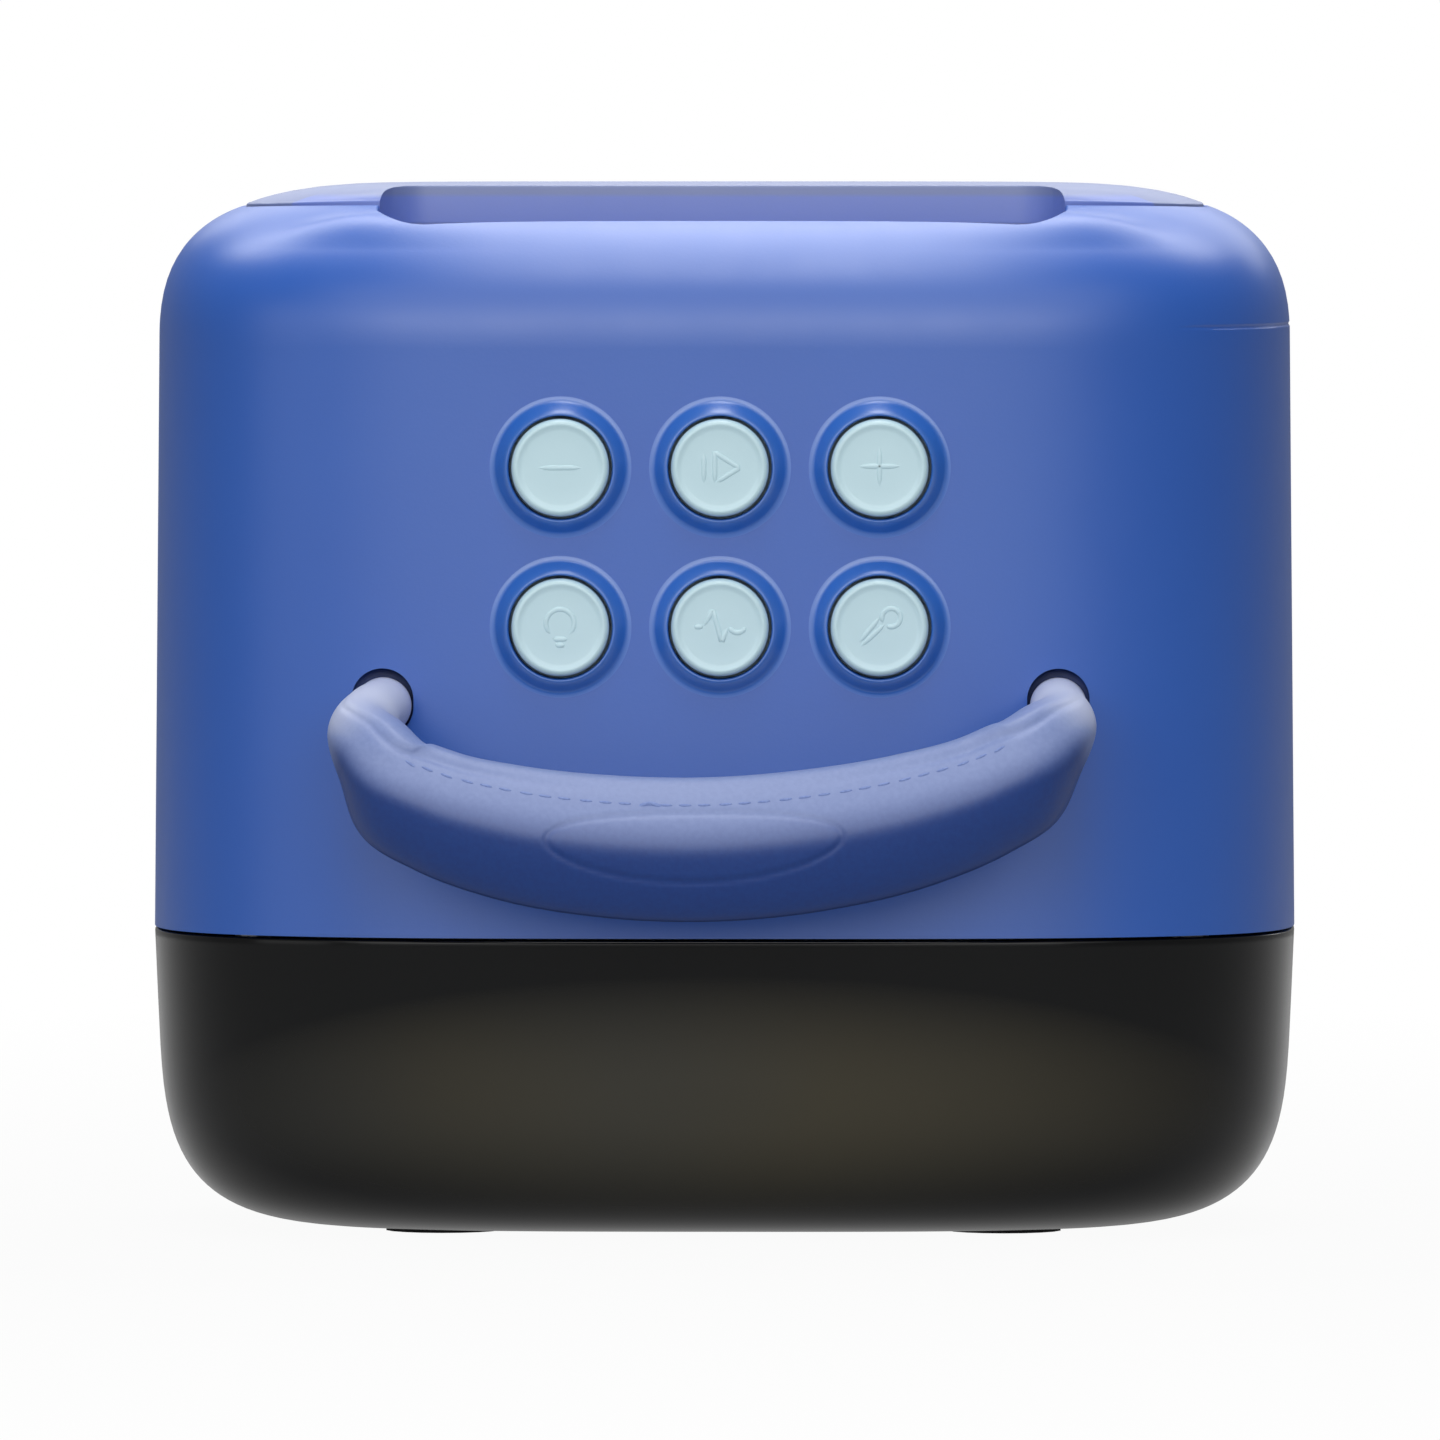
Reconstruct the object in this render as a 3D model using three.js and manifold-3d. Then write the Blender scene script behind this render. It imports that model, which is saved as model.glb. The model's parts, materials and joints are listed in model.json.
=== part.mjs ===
// A small battery karaoke machine: a rounded box with a blue shell over a smoked light bowl.
// Millimetres. +X is the object's right as seen from the front, +Y runs to its rear, +Z is up.
// The front, with six buttons and a carrying handle, faces -Y.

import * as THREE from 'three';
import { mergeVertices } from 'three/addons/utils/BufferGeometryUtils.js';
import Module from 'manifold-3d';

const wasm = await Module();
wasm.setup();

// Driving dimensions: the body's outline
const bodyWidth = 138.8; // at the seam between shell and bowl, the widest level
const bodyDepth = 100;
const sideDraft = 0.6; // how far each side leans in between the seam and the shoulders
const planPower = 3.4; // the plan is a superellipse of this power
const seamHeight = 36.65; // top of the bowl, bottom of the shell
const shellTop = 125.45;
const shoulder = { across: 21, back: 26, height: 18, acrossPower: 2.6, backPower: 2.3 };
const bowlRound = { across: 33, back: 30, height: 28.1, power: 3.9 };
const bowlDraft = 1.55; // how far each side of the bowl leans in from the seam to the table
const footProud = 0.35; // how far the bowl's underside stands off the table

// Driving dimensions: walls and clearances
const wall = 2.4;
const topWall = 5.2; // the shell's roof, thick enough to bed the top deck
const bowlWall = 2.6;
const gap = 0.3; // between pieces that touch
const slide = 0.35; // around pieces that move

// Driving dimensions: top deck and phone slot
const deckHalfWidth = bodyWidth / 2 - 11.1;
const deckHalfDepth = bodyDepth / 2 - 17;
const deckProud = 1.35; // how far the deck's middle stands over the shell's roof
const deckBed = 3.5; // depth of the rebate in the roof, from the roof's top
const deckCrown = { across: 10, along: 30 }; // powers of the crown, steeper at the front and rear edges
const deckTop = shellTop + deckProud;
const deckSeat = shellTop - deckBed;
const deckPeg = { radius: 1.5, length: 3.2, x: deckHalfWidth - 14.3, y: deckHalfDepth - 14 };
const slotHalfLength = 41.4;
const slotHalfWidth = 7.5;
const slotCorner = 6.5;
const slotCentreY = -31.5;
const slotFrame = 3.2; // wall of the frame that lines the slot
const slotFrameDepth = 12.9;
const trayWall = 2.6;
const trayDepth = 8.2;
const trayFloor = 1.6;

// Driving dimensions: buttons
const capRadius = 5.85;
const capProud = 2.2; // the cap's crown in front of the body's front plane
const collarRadius = 7.35;
const collarProud = 1.2;
const buttonPitch = 19.1;
const buttonRowHeight = 93.25; // centre of the upper row
const buttonTravel = 0.8;
const capFlange = 1.0; // how far the flange behind the wall is wider than the cap
const capFlangeThickness = 0.9;
const matThickness = 1.1;
const keyBoardThickness = 1.6;
const keySwitchHeight = 3.8;
const keyBoardMargin = 10.4; // board beyond the outer button centres

// Driving dimensions: handle
const handleHalfSpan = 40.5; // from the middle to each end's hole
const handleHoleHeight = 64.55;
const handleStubRadius = 3.4;
const handleCoreRadius = 2.2;
const handleDrop = 16.3; // from the holes down to the grip's centre line in the middle
const handleReach = 17; // from the body's front plane to the grip's centre line
const gripHalfHeight = 8.6;
const gripHalfThickness = 5;
const handleSwing = 6; // degrees that the handle can be tipped up
const bracketNose = 2.3; // the bracket's cheek in front of the pivot
const bracketHalf = 4; // half the height of a cheek
const handleSkew = 0.076; // the soft strap hangs a little lower on its left
const handleBelly = 0.85; // and its belly sits this far to the left
const pinRadius = 1.5;
const pinLength = 10.6;
const pinPlay = 0.15;
const eyeRadius = 3;

// Driving dimensions: rear panel and driver
const windowHalfWidth = bodyWidth / 2 - 22.4;
const windowBottom = 44.55;
const windowTop = 106.05;
const windowCorner = 10;
const ledge = 3; // how far the shell's ledge shows inside the window
const panelThickness = 3;
const ledgeThickness = 2.2;
const headSink = 2; // depth of the recess for a screw head in the rear panel
const driverHeight = 78.35;
const driverRadius = 23.5;
const driverFlange = 1.8;
const driverDepth = 24.2;
const magnetRadius = 13;
const magnetLength = 9.5;
const grilleSlotHeight = 2.8;
const grilleSlotPitch = 5.2;
const grilleSlots = 7;
const grilleRadius = 17.8;

// Driving dimensions: electronics
const chassisThickness = 3;
const boardHeight = 47.55; // underside of the main board
const boardThickness = 1.6;
const boardHalfWidth = 34;
const boardFront = 12;
const boardRear = bodyDepth / 2 - 7.6;
const cellRadius = 9.2;
const cellLength = 65;
const cellY = -8;
const ledBoardThickness = 1.6;
const ledHeight = 1.1;
const diffuserInset = 11;
const diffuserWall = 1.8;
const switchTravel = 4;

// Driving dimensions: fasteners and feet
const screwRadius = 1.5;
const screwHeadRadius = 2.7;
const screwHeadHeight = 1.8;
const footRadius = 7;
const footThickness = 1.4;
const footX = bodyWidth / 2 - 35.4;
const footY = bodyDepth / 2 - 32;
const bossX = bodyWidth / 2 - 13.4;
const bossY = bodyDepth / 2 - 17;
const bossRadius = 4.2;
const bossHeight = 17;
const screwHoleDepth = 14;
const postHoleDepth = 11;
const boardPostRadius = 3.2;
const postRadius = 3.9;

const around = 36; // points round the body's plan
const aroundInside = 26; // the same for its inner surfaces
const frontY = -bodyDepth / 2;
const rearY = bodyDepth / 2;

// Helpers

// Turns a closed geometry into a solid for cutting and joining.
function solid(geometry) {
  const bare = geometry.clone();
  for (const name of Object.keys(bare.attributes)) {
    if (name !== 'position') bare.deleteAttribute(name);
  }
  const merged = mergeVertices(bare, 1e-4);
  const index = merged.index.array;
  const triangles = [];
  for (let i = 0; i < index.length; i += 3) {
    const [a, b, c] = [index[i], index[i + 1], index[i + 2]];
    if (a !== b && b !== c && a !== c) triangles.push(a, b, c);
  }
  return new wasm.Manifold(new wasm.Mesh({
    numProp: 3,
    vertProperties: new Float32Array(merged.attributes.position.array),
    triVerts: new Uint32Array(triangles),
  }));
}

function geometryOf(body) {
  const mesh = body.getMesh();
  const geometry = new THREE.BufferGeometry();
  geometry.setAttribute('position', new THREE.Float32BufferAttribute(mesh.vertProperties, 3));
  geometry.setIndex(Array.from(mesh.triVerts));
  return geometry;
}

// Skins a list of rings, each with the same number of points, into one closed surface.
// With looped set, the last ring joins the first, as on a tube with a bore; otherwise both ends get a cap.
function skinned(rings, looped = false) {
  const count = rings[0].length;
  const positions = rings.flat().flatMap((p) => [p.x, p.y, p.z]);
  const index = [];
  const last = looped ? rings.length : rings.length - 1;
  for (let r = 0; r < last; r += 1) {
    const low = r * count;
    const high = ((r + 1) % rings.length) * count;
    for (let i = 0; i < count; i += 1) {
      const j = (i + 1) % count;
      index.push(low + i, low + j, high + j, low + i, high + j, high + i);
    }
  }
  if (!looped) {
    for (const r of [0, rings.length - 1]) {
      const centre = new THREE.Vector3();
      for (const p of rings[r]) centre.addScaledVector(p, 1 / count);
      const tip = positions.length / 3;
      positions.push(centre.x, centre.y, centre.z);
      for (let i = 0; i < count; i += 1) {
        const a = r * count + i;
        const b = r * count + ((i + 1) % count);
        index.push(...(r === 0 ? [tip, b, a] : [tip, a, b]));
      }
    }
  }
  const geometry = new THREE.BufferGeometry();
  geometry.setAttribute('position', new THREE.Float32BufferAttribute(positions, 3));
  geometry.setIndex(index);
  return outward(geometry);
}

// Turns every face round if the surface is inside out.
function outward(geometry) {
  const position = geometry.attributes.position;
  const index = geometry.index.array;
  const [a, b, c] = [new THREE.Vector3(), new THREE.Vector3(), new THREE.Vector3()];
  let volume = 0;
  for (let i = 0; i < index.length; i += 3) {
    a.fromBufferAttribute(position, index[i]);
    b.fromBufferAttribute(position, index[i + 1]);
    c.fromBufferAttribute(position, index[i + 2]);
    volume += a.dot(b.cross(c));
  }
  if (volume < 0) {
    for (let i = 0; i < index.length; i += 3) [index[i], index[i + 1]] = [index[i + 1], index[i]];
  }
  return geometry;
}

function box(x0, x1, y0, y1, z0, z1) {
  const geometry = new THREE.BoxGeometry(x1 - x0, y1 - y0, z1 - z0);
  return geometry.translate((x0 + x1) / 2, (y0 + y1) / 2, (z0 + z1) / 2);
}

// A rod along X, Y or Z between two places on that axis.
function rod(axis, radius, from, to, centre, sides = 16) {
  const geometry = new THREE.CylinderGeometry(radius, radius, to - from, sides);
  if (axis === 'x') geometry.rotateZ(-Math.PI / 2);
  if (axis === 'z') geometry.rotateX(Math.PI / 2);
  const middle = (from + to) / 2;
  const [x, y, z] = centre;
  if (axis === 'x') return geometry.translate(middle, y, z);
  if (axis === 'y') return geometry.translate(x, middle, z);
  return geometry.translate(x, y, middle);
}

// A lathed solid whose axis points along +Y or -Y from a place on the body.
function turned(profile, sides) {
  const points = profile.map(([radius, height]) => new THREE.Vector2(radius, height));
  return outward(mergedIndex(new THREE.LatheGeometry(points, sides)));
}

function mergedIndex(geometry) {
  const bare = geometry.clone();
  bare.deleteAttribute('normal');
  bare.deleteAttribute('uv');
  return mergeVertices(bare, 1e-4);
}

function roundedRect(halfX, halfY, radius) {
  const shape = new THREE.Shape();
  shape.moveTo(-halfX + radius, -halfY);
  shape.lineTo(halfX - radius, -halfY);
  shape.absarc(halfX - radius, -halfY + radius, radius, -Math.PI / 2, 0);
  shape.absarc(halfX - radius, halfY - radius, radius, 0, Math.PI / 2);
  shape.absarc(-halfX + radius, halfY - radius, radius, Math.PI / 2, Math.PI);
  shape.absarc(-halfX + radius, -halfY + radius, radius, Math.PI, Math.PI * 1.5);
  return shape;
}

// A flat outline pushed up from z0 to z1.
function prism(shape, z0, z1, curveSegments = 6) {
  const geometry = new THREE.ExtrudeGeometry(shape, { depth: z1 - z0, bevelEnabled: false, curveSegments });
  return geometry.translate(0, 0, z0);
}

// A flat outline drawn in X and Z, pushed back from y0 to y1.
function prismBack(shape, y0, y1, curveSegments = 6) {
  const geometry = new THREE.ExtrudeGeometry(shape, { depth: y1 - y0, bevelEnabled: false, curveSegments });
  return geometry.rotateX(Math.PI / 2).translate(0, y1, 0);
}

// Body surfaces

// One ring of the body's plan at a height, with its two half sizes.
function planRing(halfX, halfY, z, points = around) {
  const ring = [];
  for (let i = 0; i < points; i += 1) {
    const t = (i / points) * Math.PI * 2;
    const [c, s] = [Math.cos(t), Math.sin(t)];
    const x = halfX * Math.sign(c) * Math.abs(c) ** (2 / planPower);
    const y = halfY * Math.sign(s) * Math.abs(s) ** (2 / planPower);
    ring.push(new THREE.Vector3(x, y, z));
  }
  return ring;
}

// Half sizes of the body above the seam, drawn in by an inset at the sides and another at the top.
function upperHalf(z, inset = 0, topInset = 0) {
  const start = shellTop - shoulder.height - inset;
  const height = shoulder.height + inset - topInset;
  const lean = (sideDraft * (Math.min(z, start) - seamHeight)) / (shellTop - shoulder.height - seamHeight);
  const rise = THREE.MathUtils.clamp((z - start) / height, 0, 1);
  const tuck = (size, power) => (size - inset) * (1 - (1 - rise ** power) ** (1 / power));
  return {
    x: bodyWidth / 2 - lean - inset - tuck(shoulder.across, shoulder.acrossPower),
    y: bodyDepth / 2 - lean - inset - tuck(shoulder.back, shoulder.backPower),
  };
}

// Half sizes of the bowl below the seam, drawn in by an inset.
function lowerHalf(z, inset = 0) {
  const height = bowlRound.height - inset;
  const start = footProud + bowlRound.height;
  const fall = THREE.MathUtils.clamp((start - z) / height, 0, 1);
  const lean = (bowlDraft * Math.max(seamHeight - z, 0)) / (seamHeight - footProud);
  const round = 1 - (1 - fall ** bowlRound.power) ** (1 / bowlRound.power);
  const tuck = (size) => (size - bowlDraft - inset) * round;
  return {
    x: bodyWidth / 2 - inset - lean - tuck(bowlRound.across),
    y: bodyDepth / 2 - inset - lean - tuck(bowlRound.back),
  };
}

const shoulderSteps = 7;
const insideSteps = 5;

// The solid inside the upper skin, from a height up to the roof.
function upperSolid(from, inset = 0, topInset = 0) {
  const start = shellTop - shoulder.height - inset;
  const height = shoulder.height + inset - topInset;
  const levels = [from, start];
  const steps = inset > 0 ? insideSteps : shoulderSteps;
  for (let k = 1; k <= steps; k += 1) {
    levels.push(start + height * Math.sin((k / steps) * (Math.PI / 2)) ** (2 / shoulder.acrossPower));
  }
  return skinned(levels.map((z) => {
    const half = upperHalf(z, inset, topInset);
    return planRing(half.x, half.y, z, inset > 0 ? aroundInside : around);
  }));
}

// The solid inside the bowl's skin, from its underside up to a height.
function lowerSolid(to, inset = 0) {
  const height = bowlRound.height - inset;
  const start = footProud + bowlRound.height;
  const levels = [];
  const steps = inset > 0 ? insideSteps : shoulderSteps;
  for (let k = steps; k >= 0; k -= 1) {
    levels.push(start - height * Math.sin((k / steps) * (Math.PI / 2)) ** (2 / bowlRound.power));
  }
  if (to > start) levels.push(to);
  return skinned(levels.map((z) => {
    const half = lowerHalf(z, inset);
    return planRing(half.x, half.y, z, inset > 0 ? aroundInside : around);
  }));
}

// How far out a place lies on a superellipse of the body's plan power; 1 is on the outline.
function planReach(x, y, halfX, halfY) {
  const sum = Math.abs(x / halfX) ** planPower + Math.abs(y / halfY) ** planPower;
  return sum ** (1 / planPower);
}

// Height of the shell's outer surface over a place in plan.
function roofHeight(x, y) {
  let [low, high] = [seamHeight, shellTop];
  for (let i = 0; i < 40; i += 1) {
    const middle = (low + high) / 2;
    const half = upperHalf(middle);
    if (planReach(x, y, half.x, half.y) < 1) low = middle;
    else high = middle;
  }
  return low;
}

// The front or rear skin's depth at a distance from the middle, at mid height.
function skinDepth(x, inset = 0) {
  const half = { x: bodyWidth / 2 - sideDraft / 2 - inset, y: bodyDepth / 2 - sideDraft / 2 - inset };
  return half.y * (1 - Math.abs(x / half.x) ** planPower) ** (1 / planPower);
}

// Shared places

const slotShape = roundedRect(slotHalfLength, slotHalfWidth, slotCorner);
const widerSlot = (by) => roundedRect(slotHalfLength + by, slotHalfWidth + by, slotCorner + by);
const slotFrameBottom = shellTop - slotFrameDepth;
const trayTop = slotFrameBottom - gap;
const trayBottom = trayTop - trayDepth;

const buttonNames = [
  ['button_volume_down', 'button_play_pause', 'button_volume_up'],
  ['button_light', 'button_voice_effect', 'button_microphone'],
];
const buttonPlaces = buttonNames.flatMap((row, r) => row.map((name, c) => ({
  name, x: (c - 1) * buttonPitch, z: buttonRowHeight - r * buttonPitch,
})));
const buttonMiddle = buttonRowHeight - buttonPitch / 2;
const capHoleRadius = capRadius + slide;
const flangeFront = frontY + wall + 1.5; // clears the wall's inner face, which draws back towards the corners
const capBack = flangeFront + capFlangeThickness + 0.5;
const matFront = capBack + buttonTravel + 0.2;
const keyBoardFront = matFront + matThickness + gap + keySwitchHeight;
const keyHalfWidth = buttonPitch + keyBoardMargin;
const keyHalfHeight = buttonPitch / 2 + keyBoardMargin;
const keyScrews = [[-1, 1], [1, -1]].map(([sx, sz]) => ({
  x: sx * (keyHalfWidth - 3), z: buttonMiddle + sz * (keyHalfHeight - 3),
}));

const handleSides = [{ side: 'left', sign: -1 }, { side: 'right', sign: 1 }];
const pivotY = bracketNose + gap * 2 - skinDepth(handleHalfSpan + pinLength / 2, wall);
const bracketBossDrop = 10.5;
const bracketPlateFront = pivotY + 2;
const bracketPlateThickness = 1.8;

const windowMiddle = (windowBottom + windowTop) / 2;
const windowHalfHeight = (windowTop - windowBottom) / 2;
const windowShape = (grow, radius) => roundedRect(windowHalfWidth + grow, windowHalfHeight + grow, radius);
const rearPrism = (shape) => prismBack(shape, bodyDepth / 5, bodyDepth * 0.6).translate(0, 0, windowMiddle);
const rearScrewInset = 5.3;
const corners = [[-1, -1], [1, -1], [-1, 1], [1, 1]];
const rearScrews = corners.map(([sx, sz]) => ({
  x: sx * (windowHalfWidth - rearScrewInset), z: windowMiddle + sz * (windowHalfHeight - rearScrewInset),
}));

const chassisBottom = seamHeight + 1.1;
const chassisTop = chassisBottom + chassisThickness;
const chassisScrews = corners.map(([sx, sy]) => ({ x: sx * bossX, y: sy * bossY }));
const feet = corners.map(([sx, sy]) => ({ x: sx * footX, y: sy * footY }));
const bowlFloor = footProud + bowlWall;
const padTop = bowlFloor + 2.8;
const headRoof = footProud + 3.6; // where the bowl screws' heads bear
const boardPosts = [{ x: -boardHalfWidth + 4, y: boardFront + 4 }, { x: boardHalfWidth - 4, y: boardRear - 5 }];

const sharedMaterial = (color, roughness, metalness = 0) => (
  new THREE.MeshStandardMaterial({ color, roughness, metalness })
);
const paint = {
  shell: sharedMaterial(0x4a70b8, 0.5),
  trim: sharedMaterial(0x5a7bc2, 0.55),
  cap: sharedMaterial(0xc0d9dc, 0.45),
  grip: sharedMaterial(0x6d86c8, 0.6),
  smoked: sharedMaterial(0x17181a, 0.15),
  milky: sharedMaterial(0xe8e6dd, 0.5),
  dark: sharedMaterial(0x26282c, 0.6),
  rubber: sharedMaterial(0x3a3c40, 0.9),
  steel: sharedMaterial(0xb8bcc2, 0.35, 1),
  board: sharedMaterial(0x1f5a3c, 0.5),
  cell: sharedMaterial(0x3f8fae, 0.4),
  paper: sharedMaterial(0x2b2b2e, 0.85),
};

// Shell

function makeShell() {
  const outer = solid(upperSolid(seamHeight + gap / 2));
  const cavity = solid(upperSolid(seamHeight - 1, wall, topWall));
  let shell = outer.subtract(cavity);

  // a frame lines the phone slot below the roof
  const frame = prism(widerSlot(slotFrame), slotFrameBottom, shellTop).translate(0, slotCentreY, 0);
  shell = shell.add(solid(frame).intersect(outer));

  // a thicker band round the rear window beds the rear panel
  const band = solid(rearPrism(windowShape(ledge, windowCorner + ledge))).intersect(outer);
  shell = shell.add(band.subtract(solid(upperSolid(seamHeight - 1, panelThickness + gap + ledgeThickness, topWall))));

  // raised rings round the buttons, bosses for the key board, and bosses for the handle's brackets
  for (const { x, z } of buttonPlaces) shell = shell.add(solid(collar().translate(x, 0, z)));
  for (const { x, z } of keyScrews) {
    shell = shell.add(solid(rod('y', 2.6, frontY + 1.5, keyBoardFront - gap, [x, 0, z], 12)));
  }
  const bracketBosses = handleSides.flatMap(({ sign }) => [-1, 1].map((up) => (
    { x: sign * handleHalfSpan, z: handleHoleHeight + up * bracketBossDrop }
  )));
  const behindSkin = -skinDepth(handleHalfSpan) + wall / 2;
  for (const { x, z } of bracketBosses) {
    shell = shell.add(solid(rod('y', 2.8, behindSkin, bracketPlateFront - gap, [x, 0, z], 12)));
  }

  // corner bosses for the chassis screws
  for (const { x, y } of chassisScrews) {
    const boss = solid(rod('z', bossRadius, chassisTop + gap, chassisTop + bossHeight, [x, y], 12));
    shell = shell.add(boss.intersect(outer));
  }

  // cuts: deck rebate and peg holes, slot, buttons, handle holes, window, screw holes, side seam
  const deckOutline = planRing(deckHalfWidth + gap, deckHalfDepth + gap, 0).map((p) => new THREE.Vector2(p.x, p.y));
  const cuts = [
    prism(new THREE.Shape(deckOutline), deckSeat, deckTop + 1),
    prism(slotShape, slotFrameBottom - 1, deckTop + 1).translate(0, slotCentreY, 0),
    rearPrism(windowShape(-ledge, windowCorner + ledge * 2)),
  ];
  for (const { x, y } of corners.map(([sx, sy]) => ({ x: sx * deckPeg.x, y: sy * deckPeg.y }))) {
    cuts.push(rod('z', deckPeg.radius + gap, deckSeat - topWall, deckSeat + 1, [x, y], 8));
  }
  for (const { x, z } of buttonPlaces) cuts.push(rod('y', capHoleRadius, frontY - 6, frontY + 8, [x, 0, z], 20));
  for (const { sign } of handleSides) cuts.push(handleHole().translate(sign * handleHalfSpan, 0, handleHoleHeight));
  for (const { x, z } of keyScrews) {
    cuts.push(rod('y', screwRadius + gap, frontY + 5, keyBoardFront, [x, 0, z], 8));
  }
  for (const { x, z } of bracketBosses) {
    cuts.push(rod('y', screwRadius + gap, behindSkin + 2.6, bracketPlateFront, [x, 0, z], 8));
  }
  for (const { x, z } of rearScrews) {
    cuts.push(rod('y', screwRadius + gap, rearY * 0.7, rearY, [x, 0, z], 8));
  }
  for (const { x, y } of chassisScrews) {
    cuts.push(rod('z', screwRadius + gap, chassisTop, chassisTop + screwHoleDepth, [x, y], 8));
  }
  for (const cut of cuts) shell = shell.subtract(solid(cut));

  // the window's rebate stops at the ledge, one panel thickness below the outer skin
  const rebate = solid(rearPrism(windowShape(0, windowCorner)));
  shell = shell.subtract(rebate.subtract(solid(upperSolid(seamHeight - 1, panelThickness + gap, topWall / 2))));
  return geometryOf(shell.subtract(sideSeam()));
}

// The raised ring round a button, its axis along Y, with a rounded front.
function collar() {
  const inner = capHoleRadius - 0.2;
  const middle = (inner + collarRadius) / 2;
  const front = -frontY + collarProud;
  const rim = [
    [inner, -frontY - 1.2], [collarRadius + 0.3, -frontY - 1.2], [collarRadius - 0.1, front - 0.35],
    [middle, front], [inner + 0.2, front - 0.35], [inner, -frontY - 1.2],
  ];
  return outward(turned(rim, 20).rotateZ(Math.PI));
}

// The tall hole that a handle end passes through; its extra height above leaves room for the swing.
function handleHole() {
  const reach = pivotY + skinDepth(handleHalfSpan) + 0.5; // from the pivot to just outside the skin at the hole
  const lift = reach * Math.tan(THREE.MathUtils.degToRad(handleSwing));
  const radius = handleStubRadius + slide;
  const shape = new THREE.Shape();
  shape.absarc(0, 0, radius, Math.PI, Math.PI * 2);
  shape.absarc(0, lift, radius, 0, Math.PI);
  return prismBack(shape, frontY - 2, pivotY + 2, 8);
}

// A shallow line moulded round the right-hand side below the shoulder.
function sideSeam() {
  const seamZ = shellTop - shoulder.height + 2.4;
  const half = upperHalf(seamZ);
  const ring = (inset) => planRing(half.x - inset, half.y - inset, 0).map((p) => new THREE.Vector2(p.x, p.y));
  const outline = new THREE.Shape(ring(-1));
  outline.holes.push(new THREE.Path(ring(0.5)));
  const line = solid(prism(outline, seamZ - 0.25, seamZ + 0.25));
  return line.intersect(solid(box(deckHalfWidth, bodyWidth, frontY * 0.79, rearY * 0.5, seamZ - 2, seamZ + 2)));
}

// Top deck: a shallow dome let into the roof, with half the phone slot in its front edge.
function makeDeck() {
  const scales = [1, 0.98, 0.945, 0.89, 0.8, 0.6];
  const outline = planRing(deckHalfWidth, deckHalfDepth, 0);
  const rings = [outline.map((p) => new THREE.Vector3(p.x, p.y, deckSeat + gap))];
  for (const scale of scales) {
    rings.push(outline.map((p) => {
      const edge = roofHeight(p.x, p.y) + 0.1;
      const share = Math.abs(p.y / deckHalfDepth) ** planPower; // 0 at the sides, 1 at the front and rear
      const rise = 1 - scale ** (deckCrown.across + (deckCrown.along - deckCrown.across) * share);
      return new THREE.Vector3(p.x * scale, p.y * scale, edge + (deckTop - edge) * rise);
    }));
  }
  let deck = solid(skinned(rings));
  for (const [sx, sy] of corners) {
    const peg = rod('z', deckPeg.radius, deckSeat + gap - deckPeg.length, deckSeat + 1,
      [sx * deckPeg.x, sy * deckPeg.y], 10);
    deck = deck.add(solid(peg));
  }
  const slot = prism(slotShape, deckSeat - 2, deckTop + 1).translate(0, slotCentreY, 0);
  return geometryOf(deck.subtract(solid(slot)));
}

// Phone tray: the closed foot of the slot.
function makeTray() {
  const outer = solid(prism(widerSlot(trayWall), trayBottom, trayTop));
  const inner = solid(prism(slotShape, trayBottom + trayFloor, trayTop + 1));
  return geometryOf(outer.subtract(inner).translate([0, slotCentreY, 0]));
}

// Button cap with its flange and stem, its axis along Y and its front towards -Y.
function makeButton() {
  const front = -frontY + capProud;
  const flange = -flangeFront;
  const profile = [
    [0, -capBack], [2.5, -capBack], [2.5, flange - capFlangeThickness],
    [capRadius + capFlange, flange - capFlangeThickness], [capRadius + capFlange, flange],
    [capRadius, flange], [capRadius, front - 1.1], [capRadius - 0.3, front - 0.45],
    [capRadius - 1, front - 0.12], [0, front],
  ];
  return outward(turned(profile, 20).rotateZ(Math.PI));
}

// Rubber mat between the caps and the switches.
function makeMat() {
  const shape = roundedRect(keyHalfWidth - 0.6, keyHalfHeight - 0.6, 3);
  let mat = solid(prismBack(shape, matFront, matFront + matThickness, 5).translate(0, 0, buttonMiddle));
  for (const { x, z } of keyScrews) {
    mat = mat.subtract(solid(rod('y', 2.6 + gap, matFront - 1, matFront + matThickness + 1, [x, 0, z], 12)));
  }
  return geometryOf(mat);
}

// Key board with one switch behind each cap.
function makeKeyBoard() {
  const front = keyBoardFront;
  const shape = roundedRect(keyHalfWidth, keyHalfHeight, 2);
  let board = solid(prismBack(shape, front, front + keyBoardThickness, 4).translate(0, 0, buttonMiddle));
  for (const { x, z } of buttonPlaces) {
    board = board.add(solid(box(x - 3, x + 3, front - keySwitchHeight + 1, front + 0.5, z - 3, z + 3)));
    board = board.add(solid(rod('y', 1.7, front - keySwitchHeight, front, [x, 0, z], 8)));
  }
  for (const { x, z } of keyScrews) {
    board = board.subtract(solid(rod('y', screwRadius + gap, front - 1, front + 3, [x, 0, z], 8)));
  }
  return geometryOf(board);
}

// Handle

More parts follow.
